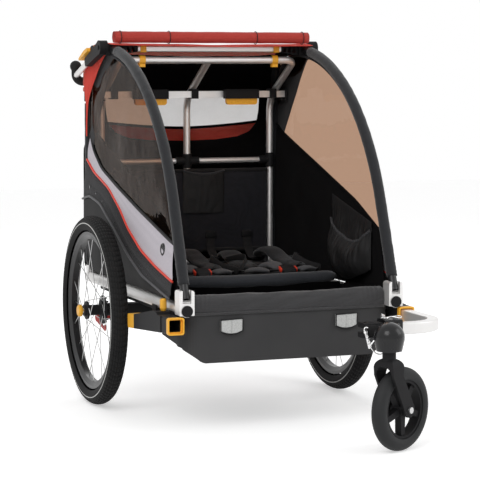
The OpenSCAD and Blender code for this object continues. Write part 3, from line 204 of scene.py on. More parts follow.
def tint(tree, shader, factor, dark, light):
    ramp = tree.nodes.new("ShaderNodeMix")
    ramp.data_type = "RGBA"
    ramp.inputs[6].default_value = (*dark, 1)
    ramp.inputs[7].default_value = (*light, 1)
    tree.links.new(factor, ramp.inputs[0])
    tree.links.new(ramp.outputs[2], shader.inputs["Base Color"])


def bump(tree, shader, height, strength, distance):
    node = tree.nodes.new("ShaderNodeBump")
    node.inputs["Strength"].default_value = strength
    node.inputs["Distance"].default_value = distance
    tree.links.new(height, node.inputs["Height"])
    tree.links.new(node.outputs[0], shader.inputs["Normal"])


def fabric(name, dark, light, pitch=0.0014, sheen=0.25, rough=0.85, shine=0.25):
    material, tree, shader = startMaterial(name,
        {"Roughness": rough, "Sheen Weight": sheen, "Sheen Roughness": 0.45, "Specular IOR Level": shine})
    weave = addGroup(tree, weaveGroup, {"Thread pitch": pitch, "Slub": 0.6})
    tint(tree, shader, weave.outputs["Tone"], dark, light)
    bump(tree, shader, weave.outputs["Height"], 0.5, 0.0006)
    return material


def moulded(name, dark, light, rough=0.5, grain=900.0, depth=0.0002, coat=0.0, shine=0.3):
    material, tree, shader = startMaterial(name,
        {"Roughness": rough, "Coat Weight": coat, "Coat Roughness": 0.15, "Specular IOR Level": shine})
    speckle = addGroup(tree, grainGroup, {"Grain": grain, "Drift": 9.0})
    tint(tree, shader, speckle.outputs["Tone"], dark, light)
    bump(tree, shader, speckle.outputs["Height"], 0.35, depth)
    spread = mathNode(tree, "ADD", mathNode(tree, "MULTIPLY", speckle.outputs["Rough"], 0.25), rough - 0.12,
        True)
    tree.links.new(spread, shader.inputs["Roughness"])
    return material


def drawnMetal(name, colour, along, rough=0.3, metal=1.0):
    material, tree, shader = startMaterial(name,
        {"Base Color": (*colour, 1), "Metallic": metal, "Roughness": rough})
    stretch = {"Along X": 700.0, "Along Y": 700.0, "Along Z": 700.0}
    stretch["Along " + along] = 10.0
    lines = addGroup(tree, brushGroup, stretch)
    tree.links.new(mathNode(tree, "ADD", lines.outputs["Rough"], rough - 0.3, True),
        shader.inputs["Roughness"])
    bump(tree, shader, lines.outputs["Height"], 0.12, 0.0002)
    return material


blackCloth = fabric("blackCloth", (0.006, 0.006, 0.007), (0.018, 0.017, 0.019), sheen=0.12)
# black lining cloth, its base far darker than the outer black cloth: partly its own black, partly painted
# shade for the dark cabin inside
liningClothPaintedShade = fabric("liningClothPaintedShade", (0.0015, 0.0013, 0.0015), (0.0045, 0.004, 0.0045), 0.0018, 0.02, 0.95,
    0.05)
redCloth = fabric("redCloth", (0.66, 0.035, 0.022), (0.84, 0.062, 0.042), 0.0014, 0.05, 0.85, 0.15)
coverCloth = fabric("coverCloth", (0.34, 0.030, 0.024), (0.50, 0.060, 0.046), 0.0014, 0.12, 0.85, 0.2)
reflectiveCloth = fabric("reflectiveCloth", (0.46, 0.43, 0.47), (0.62, 0.58, 0.63), 0.003, 0.05, 0.55)
panelCloth = fabric("panelCloth", (0.86, 0.84, 0.82), (0.96, 0.94, 0.92), 0.002, 0.0, 0.8)
seatCloth = fabric("seatCloth", (0.005, 0.005, 0.006), (0.014, 0.015, 0.017), 0.0022, 0.12)
strapWeb = fabric("strapWeb", (0.006, 0.006, 0.006), (0.022, 0.021, 0.022), 0.0030, 0.1)
redPiping = moulded("redPiping", (0.68, 0.04, 0.02), (0.85, 0.08, 0.05), 0.45)
greyPiping = moulded("greyPiping", (0.05, 0.05, 0.055), (0.12, 0.12, 0.125), 0.5)
blackPlastic = moulded("blackPlastic", (0.008, 0.008, 0.0085), (0.020, 0.0195, 0.021), 0.55, shine=0.12)
bumperPlastic = moulded("bumperPlastic", (0.040, 0.040, 0.041), (0.060, 0.059, 0.060), 0.6, 700.0, 0.0004,
    shine=0.15)
glossPlastic = moulded("glossPlastic", (0.006, 0.006, 0.007), (0.013, 0.013, 0.014), 0.25, 300.0, 0.00005,
    0.25, 0.2)
yellowPlastic = moulded("yellowPlastic", (0.86, 0.42, 0.03), (1.0, 0.52, 0.06), 0.4)
blackMetal = moulded("blackMetal", (0.006, 0.006, 0.007), (0.014, 0.014, 0.015), 0.35, 1200.0, 0.00005, 0.2)
tyreRubber = moulded("tyreRubber", (0.007, 0.007, 0.0075), (0.026, 0.0255, 0.0255), 0.8, 500.0, 0.0004,
    shine=0.2)
casterRubber = moulded("casterRubber", (0.008, 0.008, 0.009), (0.024, 0.025, 0.026), 0.62, 500.0, 0.0003)
foamRubber = moulded("foamRubber", (0.007, 0.007, 0.007), (0.022, 0.022, 0.022), 0.85, 1500.0, 0.0006)
redMetal = moulded("redMetal", (0.45, 0.02, 0.015), (0.62, 0.04, 0.03), 0.35)
tubeAlongX = drawnMetal("tubeAlongX", (0.80, 0.79, 0.78), "X", 0.42, 0.72)
tubeAlongY = drawnMetal("tubeAlongY", (0.78, 0.77, 0.76), "Y", 0.42, 0.72)
tubeAlongZ = drawnMetal("tubeAlongZ", (0.82, 0.81, 0.80), "Z", 0.42, 0.72)
spokeSteel = drawnMetal("spokeSteel", (0.55, 0.55, 0.55), "Y", 0.35)
chromeWire = drawnMetal("chromeWire", (0.85, 0.85, 0.85), "Z", 0.15)
bandCloth = fabric("bandCloth", (0.86, 0.045, 0.032), (1.0, 0.075, 0.055), 0.0014, 0.0, 0.85, 0.1)
for cloth, glow in ((panelCloth, 1.0), (bandCloth, 1.0), (redCloth, 0.4)):
    # thin cloth that lets light from behind come through
    thin = cloth.node_tree.nodes["Principled BSDF"]
    thin.inputs["Subsurface Weight"].default_value = glow
    thin.inputs["Subsurface Radius"].default_value = (1, 1, 1)
    thin.inputs["Subsurface Scale"].default_value = 0.012
print("materials made")


def windowFilm():
    # clear film with a brown tint: thin, so it shows what is behind it unbent
    material, tree, shader = startMaterial("windowFilm",
        {"Base Color": (0.46, 0.29, 0.20, 1), "Roughness": 0.02, "Transmission Weight": 1.0, "IOR": 1.07})
    speckle = addGroup(tree, grainGroup, {"Grain": 14.0, "Drift": 5.0})
    bump(tree, shader, speckle.outputs["Height"], 0.5, 0.004)
    return material


def lensPlastic():
    material, tree, shader = startMaterial("lensPlastic",
        {"Roughness": 0.12, "Coat Weight": 0.8, "Coat Roughness": 0.03})
    place = tree.nodes.new("ShaderNodeTexCoord")
    cells = tree.nodes.new("ShaderNodeTexVoronoi")
    cells.inputs["Scale"].default_value = 330
    tree.links.new(place.outputs["Object"], cells.inputs["Vector"])
    tint(tree, shader, cells.outputs["Distance"], (0.62, 0.62, 0.61), (0.42, 0.43, 0.42))
    bump(tree, shader, cells.outputs["Distance"], 0.8, 0.0012)
    return material


filmClear = windowFilm()
reflectorLens = lensPlastic()


def dress(name, material):
    node = frame["nodes"][name]
    for slot in node.material_slots:
        slot.material = material
    if not node.material_slots:
        node.data.materials.append(material)


dressing = (
    (tubeAlongY, "base_frame handlebar_tube"),
    (blackMetal, "axle_beam side_hoops left_rim right_rim"),
    (blackPlastic, "rail_end_plugs axle_brackets floor_tub receivers hitch_head caster_fork"
        " caster_rim left_hub right_hub elbow_arms latch_catches seat_pivots tee_connectors"
        " grip_housings handlebar_arms"),
    (spokeSteel, "wheel_axles caster_bolt left_spokes right_spokes"),
    (yellowPlastic, "left_release_button right_release_button receiver_bezels left_lock_pin"
        " right_lock_pin bar_end_clips left_fold_grip right_fold_grip bar_collars"
        " left_handlebar_lever right_handlebar_lever"),
    (redMetal, "brake_bar"),
    (bumperPlastic, "bumper"),
    (reflectorLens, "front_reflectors"),
    (tubeAlongZ, "hoop_brackets seat_frame_tubes"),
    (blackCloth, "hoop_sleeves seat_back"),
    (tubeAlongX, "tow_bar front_bar mid_bar rear_crossbar"),
    (chromeWire, "hitch_pin"),
    (strapWeb, "hitch_strap harnesses"),
    (glossPlastic, "caster_mount"),
    (casterRubber, "caster_tyre"),
    (tyreRubber, "left_tyre right_tyre"),
    (foamRubber, "handlebar_grip"),
    (liningClothPaintedShade, "side_panels"),
    (filmClear, "side_windows"),
    (redCloth, "canopy"),
    (coverCloth, "rolled_cover"),
    (seatCloth, "seat_base"),
)
for nodeMaterial, nodeNames in dressing:
    for nodeName in nodeNames.split():
        dress(nodeName, nodeMaterial)
print("parts dressed")

def mirrored(points, side):
    return [Vector((side * p.x, p.y, p.z)) for p in points]


def spread(points, count):
    # the same line with evenly spaced points
    lengths = [0.0]
    for a, b in zip(points, points[1:]):
        lengths.append(lengths[-1] + (b - a).length)
    result = []
    for i in range(count):
        want = lengths[-1] * i / (count - 1)
        k = 0
        while k < len(lengths) - 2 and lengths[k + 1] < want:
            k += 1
        span = lengths[k + 1] - lengths[k]
        result.append(points[k].lerp(points[k + 1], 0 if span == 0 else (want - lengths[k]) / span))
    return result


def smoothLine(points, count):
    line = spread(points, count)
    for _ in range(2):
        line = [line[0]] + [(a + b * 2 + c) / 4 for a, b, c in zip(line, line[1:], line[2:])] + [line[-1]]
    return line


def sheetFrom(rows, closed=False):
    # the first row is drawn as edges, and every later row is extruded from the one before
    shape = bmesh.new()
    line = [shape.verts.new(p) for p in rows[0]]
    edges = [shape.edges.new(pair) for pair in zip(line, line[1:])]
    if closed:
        edges.append(shape.edges.new((line[-1], line[0])))
    for row in rows[1:]:
        grown = bmesh.ops.extrude_edge_only(shape, edges=edges)["geom"]
        order = {v: i for i, v in enumerate(line)}
        fresh = [None] * len(line)
        for v in (g for g in grown if isinstance(g, bmesh.types.BMVert)):
            for edge in v.link_edges:
                if edge.other_vert(v) in order:
                    fresh[order[edge.other_vert(v)]] = v
        for v, p in zip(fresh, row):
            v.co = p
        line = fresh
        edges = [g for g in grown if isinstance(g, bmesh.types.BMEdge)]
    return shape


def between(low, high, steps, push):
    # rows from one line to the other, each point moved by what push says
    rows = []
    for i in range(steps + 1):
        places = [a.lerp(b, i / steps) for a, b in zip(low, high)]
        rows.append([p + push(i / steps, p) for p in places])
    return rows


def ripple(p, size, reach):
    # a slow, seeded unevenness, the same in every run
    return noise.noise(Vector(p) * size) * reach


def addPiece(name, shape, materials, body="chassis", slot="black_fabric", stands=(), wall=0.0, sub=0):
    mesh = bpy.data.meshes.new(name)
    bmesh.ops.recalc_face_normals(shape, faces=shape.faces[:])
    for face in shape.faces:
        face.smooth = True
    shape.to_mesh(mesh)
    shape.free()
    for material in materials:
        mesh.materials.append(material)
    piece = bpy.data.objects.new(name, mesh)
    bpy.context.scene.collection.objects.link(piece)
    if wall:
        solid = piece.modifiers.new("wall", "SOLIDIFY")
        solid.thickness = wall
        solid.offset = 0
    if sub:
        soft = piece.modifiers.new("smooth", "SUBSURF")
        soft.levels = soft.render_levels = sub
    if body:
        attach(piece, body)
    if stands:
        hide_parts(*stands)
    return piece


def closedTube(rows):
    # a skin over closed rings, filled at both ends
    shape = sheetFrom(rows, closed=True)
    bmesh.ops.holes_fill(shape, edges=[e for e in shape.edges if e.is_boundary], sides=0)
    return shape


def tubeShape(points, radius, sides=10, radiusAt=None, flat=1.0, up=Vector((0, 0, 1))):
    # a ring carried along a line
    rows = []
    for i, p in enumerate(points):
        ahead = points[min(i + 1, len(points) - 1)] - points[max(i - 1, 0)]
        ahead.normalize()
        side = ahead.cross(up)
        if side.length < 1e-3:
            side = ahead.cross(Vector((0, 1, 0)))
        side.normalize()
        rise = side.cross(ahead)
        r = radius * (radiusAt(i / (len(points) - 1)) if radiusAt else 1)
        turns = [2 * pi * k / sides for k in range(sides)]
        rows.append([p + side * cos(a) * r + rise * sin(a) * r * flat for a in turns])
    return closedTube(rows)


def addTube(name, points, radius, material, body="chassis", **more):
    keep = {k: more.pop(k) for k in ("sides", "radiusAt", "flat", "up") if k in more}
    return addPiece(name, tubeShape(points, radius, **keep), [material], body, **more)


def joinShapes(shapes):
    whole = bmesh.new()
    for shape in shapes:
        scrap = bpy.data.meshes.new("scrap")
        shape.to_mesh(scrap)
        shape.free()
        whole.from_mesh(scrap)
        bpy.data.meshes.remove(scrap)
    return whole


def discShape(centre, axis, radius, depth, bevel=0.0, sides=24):
    shape = bmesh.new()
    bmesh.ops.create_cone(shape, cap_ends=True, segments=sides, radius1=radius, radius2=radius, depth=depth)
    if bevel:
        rim = [e for e in shape.edges if any(len(f.verts) > 4 for f in e.link_faces)]
        bmesh.ops.bevel(shape, geom=rim, offset=bevel, offset_type="OFFSET", segments=3, profile=0.5,
            affect="EDGES", material=-1)
    turn = Vector(axis).to_track_quat("Z", "Y").to_matrix().to_4x4()
    bmesh.ops.transform(shape, matrix=Matrix.Translation(centre) @ turn, verts=shape.verts)
    return shape


def boxShape(centre, size, bevel=0.0, turn=None, segments=2):
    shape = bmesh.new()
    bmesh.ops.create_cube(shape, size=1)
    bmesh.ops.scale(shape, vec=size, verts=shape.verts)
    if bevel:
        bmesh.ops.bevel(shape, geom=shape.edges[:], offset=bevel, offset_type="OFFSET", segments=segments,
            profile=0.5, affect="EDGES", material=-1)
    bmesh.ops.transform(shape, matrix=Matrix.Translation(centre) @ (turn or Matrix()), verts=shape.verts)
    return shape


def sideLine(pairs, x):
    return [at(x, y / 1000, z / 1000) for y, z in pairs]


hoop = {"railX": 0.277, "centreY": 0.110, "centreZ": 0.345, "bend": 0.600, "lean": 21, "fall": 10,
    "corner": 0.075, "splice": 0.006}
fall = radians(hoop["fall"])
hoopEnd = hoop["bend"] - hoop["corner"]
rearY = hoop["centreY"] + hoopEnd * sin(fall) + hoop["splice"] * cos(fall) + hoop["corner"]
cornerY = rearY - hoop["corner"]
cornerZ = hoop["centreZ"] + hoopEnd * cos(fall) - hoop["splice"] * sin(fall)
leanY = hoop["centreY"] - hoop["bend"] * cos(radians(hoop["lean"]))
leanZ = hoop["centreZ"] + hoop["bend"] * sin(radians(hoop["lean"]))


def hoopArc(x, out, a):
    reach = hoop["bend"] + out
    return at(x, hoop["centreY"] + reach * cos(a), hoop["centreZ"] + reach * sin(a))


def hoopCorner(x, out, a):
    reach = hoop["corner"] + out
    return at(x, cornerY + reach * cos(a), cornerZ + reach * sin(a))


def hoopLine(x, out=0.0, frontZ=0.372, rearZ=0.35, steps=56):
    # from the front foot over the top and down the rear leg, shifted outwards by out
    slope = radians(hoop["lean"])
    footY = leanY - (leanZ - frontZ) * (sin(slope) / cos(slope)) - out * cos(slope)
    points = [at(x, footY, frontZ + out * sin(slope))]
    for i in range(steps + 1):
        a = radians(180 - hoop["lean"] - (90 - hoop["lean"] + hoop["fall"]) * i / steps)
        points.append(hoopArc(x, out, a))
    for i in range(12):
        a = radians(90 - hoop["fall"]) * (1 - i / 11)
        points.append(hoopCorner(x, out, a))
    points.append(at(x, rearY + out, rearZ))
    return points


sideCloth = {
    "columns": 30, "trimColumns": 60, "liningX": 0.2762, "outerX": 0.2795, "archX": 0.2985, "hemX": 0.2935,
    "redX": 0.2865, "archPipingX": 0.3005, "redPipingX": 0.2885, "bindingX": 0.2812, "liningHemX": 0.2752,
    "filmIn": -0.0165, "filmFront": 0.478, "filmRear": 0.735, "wall": 0.0012}
railPairs = [(-492, 327), (-200, 327), (60, 327), (276, 327)]
archPairs = [(-478, 334), (-422, 343), (-262, 369), (-149, 409), (-30, 465), (107, 527), (212, 542),
    (277, 530)]
hemPairs = [(-476, 344), (-406, 352), (-287, 384), (-144, 421), (-39, 475), (51, 530), (154, 558), (277, 592)]
redPairs = [(-470, 374), (-445, 378), (-335, 399), (-217, 429), (-108, 476), (-38, 521), (63, 571),
    (202, 607), (272, 640)]
windowPairs = [(-462, 466), (-441, 469), (-309, 500), (-177, 531), (4, 578), (153, 620), (230, 666),
    (262, 712)]
innerPairs = [(-458, 478), (-431, 491), (-297, 550), (-40, 632), (120, 682), (216, 713), (262, 735)]


def makeSide(side):
    name = sideName(side)
    cols, trim = sideCloth["columns"], sideCloth["trimColumns"]
    x = sideCloth["outerX"]

    def line(pairs, out, count=cols):
        return mirrored(smoothLine(sideLine(pairs, out), count), side)

    rail = line(railPairs, x + 0.001)
    arch = line(archPairs, sideCloth["archX"])
    hem = line(hemPairs, sideCloth["hemX"])
    red = line(redPairs, sideCloth["redX"])
    window = line(windowPairs, x + 0.0005)

    def puff(reach):
        def move(t, p):
            return Vector((side * (sin(pi * t) * reach + ripple(p, 18, 0.0012)), 0, 0))
        return move

    # moulded skirt under the arch, the cloth band over it and the pale panel above the red piping
    addPiece(name + "Skirt", sheetFrom(between(rail, arch, 8, puff(0.004))), [skirtCloth], wall=0.0016, sub=1,
        stands=("side_panels",))
    band = between(arch, hem, 3, puff(0.001)) + between(hem, red, 6, puff(0.002))[1:]
    addPiece(name + "ArchBand", sheetFrom(band), [blackCloth], wall=sideCloth["wall"], sub=1)
    addPiece(name + "PalePanel", sheetFrom(between(red, window, 8, puff(0.0035))), [reflectiveCloth],
        wall=sideCloth["wall"], sub=1)
    addTube(name + "ArchPiping", line(archPairs, sideCloth["archPipingX"], trim), 0.0032, greyPiping)
    addTube(name + "RedPiping", line(redPairs, sideCloth["redPipingX"], trim), 0.0030, redPiping,
        slot="red_fabric")
    addTube(name + "WindowBinding", line(windowPairs, sideCloth["bindingX"], trim), 0.0028, blackCloth,
        flat=1.6)

    # press studs along the hem, and the cord grommet
    studs = [discShape(p + Vector((side * 0.0018, 0, -0.010)), (side, 0, 0), 0.0052, 0.0032, 0.001, 14)
        for p in smoothLine(hem, 14)[1:-1]]
    addPiece(name + "PressStuds", joinShapes(studs), [glossPlastic], slot="black_plastic")
    ring = bmesh.new()
    bmesh.ops.create_circle(ring, segments=10, radius=0.0042)
    bmesh.ops.translate(ring, vec=(0.0125, 0, 0), verts=ring.verts)
    bmesh.ops.rotate(ring, cent=(0, 0, 0), matrix=Matrix.Rotation(pi / 2, 3, "X"), verts=ring.verts)
    bmesh.ops.spin(ring, geom=ring.verts[:] + ring.edges[:], cent=(0, 0, 0), axis=(0, 0, 1), angle=2 * pi,
        steps=30, use_merge=True)
    hub = discShape(Vector((0, 0, 0.0005)), (0, 0, 1), 0.0085, 0.003, 0.0008, 20)
    knob = joinShapes([ring, hub])
    place = Matrix.Translation(at(side * 0.2845, -0.389, 0.446)) @ Matrix.Rotation(side * pi / 2, 4, "Y")
    bmesh.ops.transform(knob, matrix=place, verts=knob.verts)
    addPiece(name + "Grommet", knob, [glossPlastic], slot="black_plastic")

    # black lining inside, its cloth darkened with painted shade, which reaches a little above the pale panel
    low = line(railPairs, sideCloth["liningX"])
    high = line(innerPairs, sideCloth["liningX"])

    def slack(t, p):
        return Vector((-side * sin(pi * t) * (0.003 + ripple(p, 9, 0.004) + ripple(p, 30, 0.0015)), 0, 0))

    addPiece(name + "Lining", sheetFrom(between(low, high, 14, slack)), [liningClothPaintedShade], wall=0.0010, sub=1)
    addTube(name + "LiningHem", line(innerPairs, sideCloth["liningHemX"], trim), 0.0042, liningClothPaintedShade,
        flat=0.5)

    # clear film from the pale panel up to the hoop, a little uneven
    rim = hoopLine(x, sideCloth["filmIn"], sideCloth["filmFront"], sideCloth["filmRear"])
    film = mirrored(spread(rim, cols), side)

    def wavy(t, p):
        arch = sin(pi * t)
        out = arch * 0.003 + ripple(p, 7, 0.0035) * arch + ripple(p, 22, 0.0010) * arch
        return Vector((side * out, 0, 0))

    addPiece(name + "WindowFilm", sheetFrom(between(line(windowPairs, x - 0.0005), film, 16, wavy)),
        [filmClear], stands=("side_windows",), wall=0.0005, sub=1, slot="window_tint")
    addTube(name + "FilmBinding", mirrored(spread(hoopLine(0.2785, -0.0185, 0.470, 0.735), 90), side), 0.0045,
        blackCloth, flat=0.7)


skirtCloth = moulded("skirtCloth", (0.009, 0.009, 0.0095), (0.022, 0.021, 0.022), 0.6, 500.0, 0.0004,
    shine=0.12)
for side in (-1, 1):
    makeSide(side)
print("side panels and windows made")

sleeve = {"radius": 0.0150, "pucker": 0.0011}


def makeSleeve(side):
    name = sideName(side)
    x = hoop["railX"]
    runs = {
        "Front": hoopLine(x, 0, 0.372, 0.35)[:44],
        "Rear": hoopLine(x, 0, 0.372, 0.844)[50:],
        "Leg": [at(x, rearY, 0.795), at(x, rearY, 0.352)]}
    shapes = []
    for label, run in runs.items():
        points = mirrored(spread(run, 150 if label == "Front" else 50), side)
        shape = tubeShape(points, sleeve["radius"] - sleeve["pucker"], 20)
        foot = points[0]
        for v in shape.verts:
            # gathers near the lower end, slow unevenness above
            near = max(0.0, 1 - (v.co - foot).length / 0.11) if label == "Front" else 0.0
            gather = sin((v.co.z - foot.z) * 620 + noise.noise(v.co * 60) * 3) * near
            push = sleeve["pucker"] * (0.55 * gather + 0.6 * noise.noise(v.co * 45)
                + 0.25 * noise.noise(v.co * 140))
            nearest = min(points, key=lambda p: (p - v.co).length_squared)
            v.co += push * (v.co - nearest).normalized()
        shapes.append(shape)
    addPiece(name + "HoopSleeve", joinShapes(shapes), [sleeveCloth], stands=("hoop_sleeves",))


sleeveCloth = fabric("sleeveCloth", (0.010, 0.010, 0.012), (0.026, 0.027, 0.030), 0.0012, 0.30)
for side in (-1, 1):
    makeSleeve(side)
print("hoop sleeves made")

roof = {
    "halfWidth": 0.2915, "out": 0.0165, "columns": 28, "sag": 0.007, "rearLow": 0.333,
    "panelHalf": 0.262, "panelBack": 0.010, "bandHalf": 0.245}


def roofLine(x, out, frontY=0.022, rearZ=0.84):
    points = []
    start = pi - atan2(hoop["bend"], hoop["centreY"] - frontY)
    for i in range(9):
        a = start + (radians(90 - hoop["fall"]) - start) * i / 8
        points.append(hoopArc(x, out, a))
    for i in range(1, 9):
        a = radians(90 - hoop["fall"]) * (1 - i / 8)
        points.append(hoopCorner(x, out, a))
    points.append(at(x, rearY + out, rearZ))
    return points


def makeRoof():
    rows = []
    for u in evenly(roof["columns"]):
        x = u * roof["halfWidth"]
        row = spread(roofLine(x, roof["out"]), 30)
        for p in row:
            free = max(0.0, 1 - abs(u)) ** 0.6
            p.z -= roof["sag"] * free * (0.7 + 0.5 * noise.noise(p * 6))
            p.z += ripple(p, 30, 0.0012)
        rows.append(row)
    addPiece("roofCloth", sheetFrom(rows), [redCloth], wall=0.0012, sub=1, slot="red_fabric",
        stands=("canopy",))

    # lining under it, its cloth darkened with painted shade, down to the top of the pale rear panel
    rows = []
    for u in evenly(roof["columns"]):
        row = spread(roofLine(u * roof["panelHalf"], -0.014, 0.060, 0.826), 24)
        for p in row:
            p.z -= 0.006 * max(0.0, 1 - abs(u)) ** 0.5 + ripple(p, 12, 0.004)
        rows.append(row)
    addPiece("roofLining", sheetFrom(rows), [liningClothPaintedShade], wall=0.0010, sub=1)

    # red side strip that follows the rear top of each hoop
    outer = [(60, 948), (110, 950), (160, 944), (222, 927), (262, 900), (284, 872), (287, 852), (280, 832),
        (268, 812), (261, 796), (263, 750), (264, 704)]
    inner = [(52, 938), (80, 926), (112, 908), (140, 890), (166, 870), (188, 852), (206, 836), (222, 822),
        (236, 808), (248, 796), (255, 750), (256, 704)]
    curtainIn = [(20, 930), (50, 905), (78, 876), (104, 842), (128, 812), (150, 786), (174, 752), (196, 724),
        (216, 700), (236, 676)]
    curtainOut = [(60, 930), (110, 935), (160, 930), (214, 914), (248, 892), (268, 862), (272, 830),
        (272, 790), (272, 740), (272, 690)]
    for side in (-1, 1):
        name = sideName(side)

        def line(pairs, out):
            return mirrored(smoothLine(sideLine(pairs, out), 26), side)

        def bow(reach, size, depth):
            return lambda t, p: Vector((side * (reach * sin(pi * t) + ripple(p, size, depth)), 0, 0))

        addPiece(name + "RoofFlap", sheetFrom(between(line(outer, 0.2928), line(inner, 0.2915), 5,
            bow(0.0015, 25, 0.0012))), [redCloth], wall=0.0012, sub=1, slot="red_fabric")
        addPiece(name + "Curtain", sheetFrom(between(line(curtainOut, 0.2800), line(curtainIn, 0.2795), 6,
            bow(0.002, 20, 0.0016))), [blackCloth], wall=0.0012, sub=1)

    # rear panel: pale upper part, red band and black lower part with a scooped top
    def fold(t, p):
        return Vector((0, ripple(p, 10, 0.003) + ripple(p, 28, 0.0012) + 0.003 * sin(pi * t), 0))

    half, backY = roof["panelHalf"], rearY + roof["panelBack"]
    addPiece("palePanel", sheetFrom(between(acrossRow(half, backY, 0.640), acrossRow(half, backY, 0.835), 12,
        fold)), [panelCloth], wall=0.001, sub=1)
    low, high = [], []
    for u in evenly(30):
        low.append(at(roof["bandHalf"] * u, backY - 0.004, 0.676 + 0.040 * abs(u) ** 2.2))
        high.append(at(roof["bandHalf"] * u, backY - 0.004, 0.722 + 0.018 * abs(u) ** 1.6))
    addPiece("redBand", sheetFrom(between(low, high, 6, fold)), [bandCloth], wall=0.001, sub=1,
        slot="red_fabric")
    addTube("bandHem", [p + Vector((0, -0.001, 0.002)) for p in high], 0.0030, liningClothPaintedShade, flat=1.3)
    scoop = [(-0.262, 0.832), (-0.232, 0.828), (-0.229, 0.775), (-0.222, 0.738), (-0.200, 0.712),
        (-0.165, 0.698), (-0.10, 0.690), (0, 0.687)]
    scoop += [(-x, z) for x, z in reversed(scoop[:-1])]
    edge = spread([at(x, backY - 0.007, z) for x, z in scoop], 71)
    foot = acrossRow(half, backY - 0.006, roof["rearLow"], 70)
    addPiece("rearLowerPanel", sheetFrom(between(foot, edge, 14, fold)), [liningClothPaintedShade], wall=0.001)

    # the panel's outer face, red above and black below the pale window
    def outerRow(z):
        return acrossRow(roof["halfWidth"], rearY + roof["out"], z)

    addPiece("rearOuterTop", sheetFrom(between(outerRow(0.826), outerRow(0.842), 3, fold)), [redCloth],
        wall=0.001, sub=1, slot="red_fabric")
    addPiece("rearOuterFoot", sheetFrom(between(outerRow(roof["rearLow"]), outerRow(0.684), 12, fold)),
        [blackCloth], wall=0.001, sub=1)


makeRoof()
print("roof made")

cover = {"centreY": 0.040, "centreZ": 0.9755, "radius": 0.0165, "half": 0.279, "turns": 16, "layers": 385}


def makeRolledCover():
    rows = []
    for u in evenly(40):
        x = cover["half"] * u
        swell = 1 + 0.02 * noise.noise(Vector((x * 14, 3, 1)))
        row = []
        for i in range(cover["layers"]):
            t = i / (cover["layers"] - 1)
            a = -2.2 + t * cover["turns"] * 2 * pi
            r = cover["radius"] * (0.20 + 0.76 * t) * swell
            crease = 0.0007 * noise.noise(Vector((x * 40, cos(a) * 2, sin(a) * 2 + t * 3)))
            inset = 0.004 * (1 - t) * (1 if abs(u) > 0.985 else 0)
            row.append(at(x - (inset if u > 0 else -inset), cover["centreY"] + (r + crease) * cos(a),
                cover["centreZ"] + (r + crease) * sin(a) * 0.98))
        rows.append(row)
    addPiece("rolledCover", sheetFrom(rows), [coverCloth], wall=0.0005, slot="red_fabric",
        stands=("rolled_cover",))
    ties = []
    for x in (-0.262, -0.125, 0.125, 0.262):
        ring = [at(x, cover["centreY"] + 0.0172 * cos(2 * pi * k / 28),
            cover["centreZ"] + 0.0170 * sin(2 * pi * k / 28)) for k in range(29)]
        ties.append(tubeShape(ring, 0.0010, 6, up=Vector((1, 0, 0))))
    addPiece("coverTies", joinShapes(ties), [blackCloth])


makeRolledCover()
print("rolled cover made")

tyre = {"treadAngle": 56, "middle": 0.2285, "section": 0.0232, "blocks": 104, "columns": 7, "groove": 0.0016,
    "blockHeight": 0.0022, "wheelX": 0.350}


def makeTyre(side):
    # one slice with its sidewalls, pale line and tread blocks, then turned round the axle
    shape = bmesh.new()
    shoulders = [132, 114, 98, 85, 79, 70]
    widest = tyre["treadAngle"]
    tread = [widest - 2 * widest * i / tyre["columns"] for i in range(tyre["columns"] + 1)]
    angles = shoulders + tread + [-a for a in reversed(shoulders)]
    step = 2 * pi / tyre["blocks"]
    line = []
    for a in angles:
        slant = step * 0.55 * (1 - abs(a) / widest) if abs(a) <= widest else 0.0  # blocks in a shallow V
        r = tyre["middle"] + (tyre["section"] - (tyre["blockHeight"] if abs(a) <= widest
            else 0)) * cos(radians(a))
        x = tyre["section"] * sin(radians(a))
        line.append(shape.verts.new((x, -r * sin(slant), r * cos(slant))))
    edges = [shape.edges.new(pair) for pair in zip(line, line[1:])]
    bmesh.ops.spin(shape, geom=line + edges, cent=(0, 0, 0), axis=(1, 0, 0), angle=step, steps=1)
    blocks = []
    for face in shape.faces:
        middle = face.calc_center_median()
        reach = sqrt(middle.y ** 2 + middle.z ** 2) - tyre["middle"]
        turn = abs(atan2(middle.x, reach))
        if turn < radians(widest):
            blocks.append(face)
        elif radians(79) < turn < radians(85):
            face.material_index = 1
    bmesh.ops.inset_individual(shape, faces=blocks, thickness=tyre["groove"], depth=0)
    for face in blocks:
        grown = bmesh.ops.extrude_discrete_faces(shape, faces=[face])["faces"][0]
        out = grown.calc_center_median()
        out = out - Vector((0, out.y, out.z)).normalized() * tyre["middle"]
        bmesh.ops.translate(shape, vec=out.normalized() * tyre["blockHeight"], verts=grown.verts)
    count = tyre["blocks"]
    bmesh.ops.spin(shape, geom=shape.verts[:] + shape.edges[:] + shape.faces[:], cent=(0, 0, 0),
        axis=(1, 0, 0), angle=2 * pi * (count - 1) / count, steps=count - 1, use_duplicate=True)
    bmesh.ops.remove_doubles(shape, verts=shape.verts, dist=0.00005)
    bmesh.ops.translate(shape, vec=at(side * tyre["wheelX"], 0, 0.252), verts=shape.verts)
    name = sideName(side)
    addPiece(name + "TreadedTyre", shape, [tyreRubber, reflectiveLine], name + "_wheel",
        stands=(name + "_tyre",), slot="tyre_rubber")


reflectiveLine = moulded("reflectiveLine", (0.50, 0.50, 0.49), (0.66, 0.66, 0.64), 0.4, 900.0, 0.0001)
for side in (-1, 1):
    makeTyre(side)
print("tyres made")

flap = {"half": 0.257, "columns": 110, "profile": [(-452, 325), (-470, 330), (-488, 340), (-503, 345.5),
    (-513, 344), (-519.5, 335), (-521, 320), (-520, 306), (-518, 295)]}


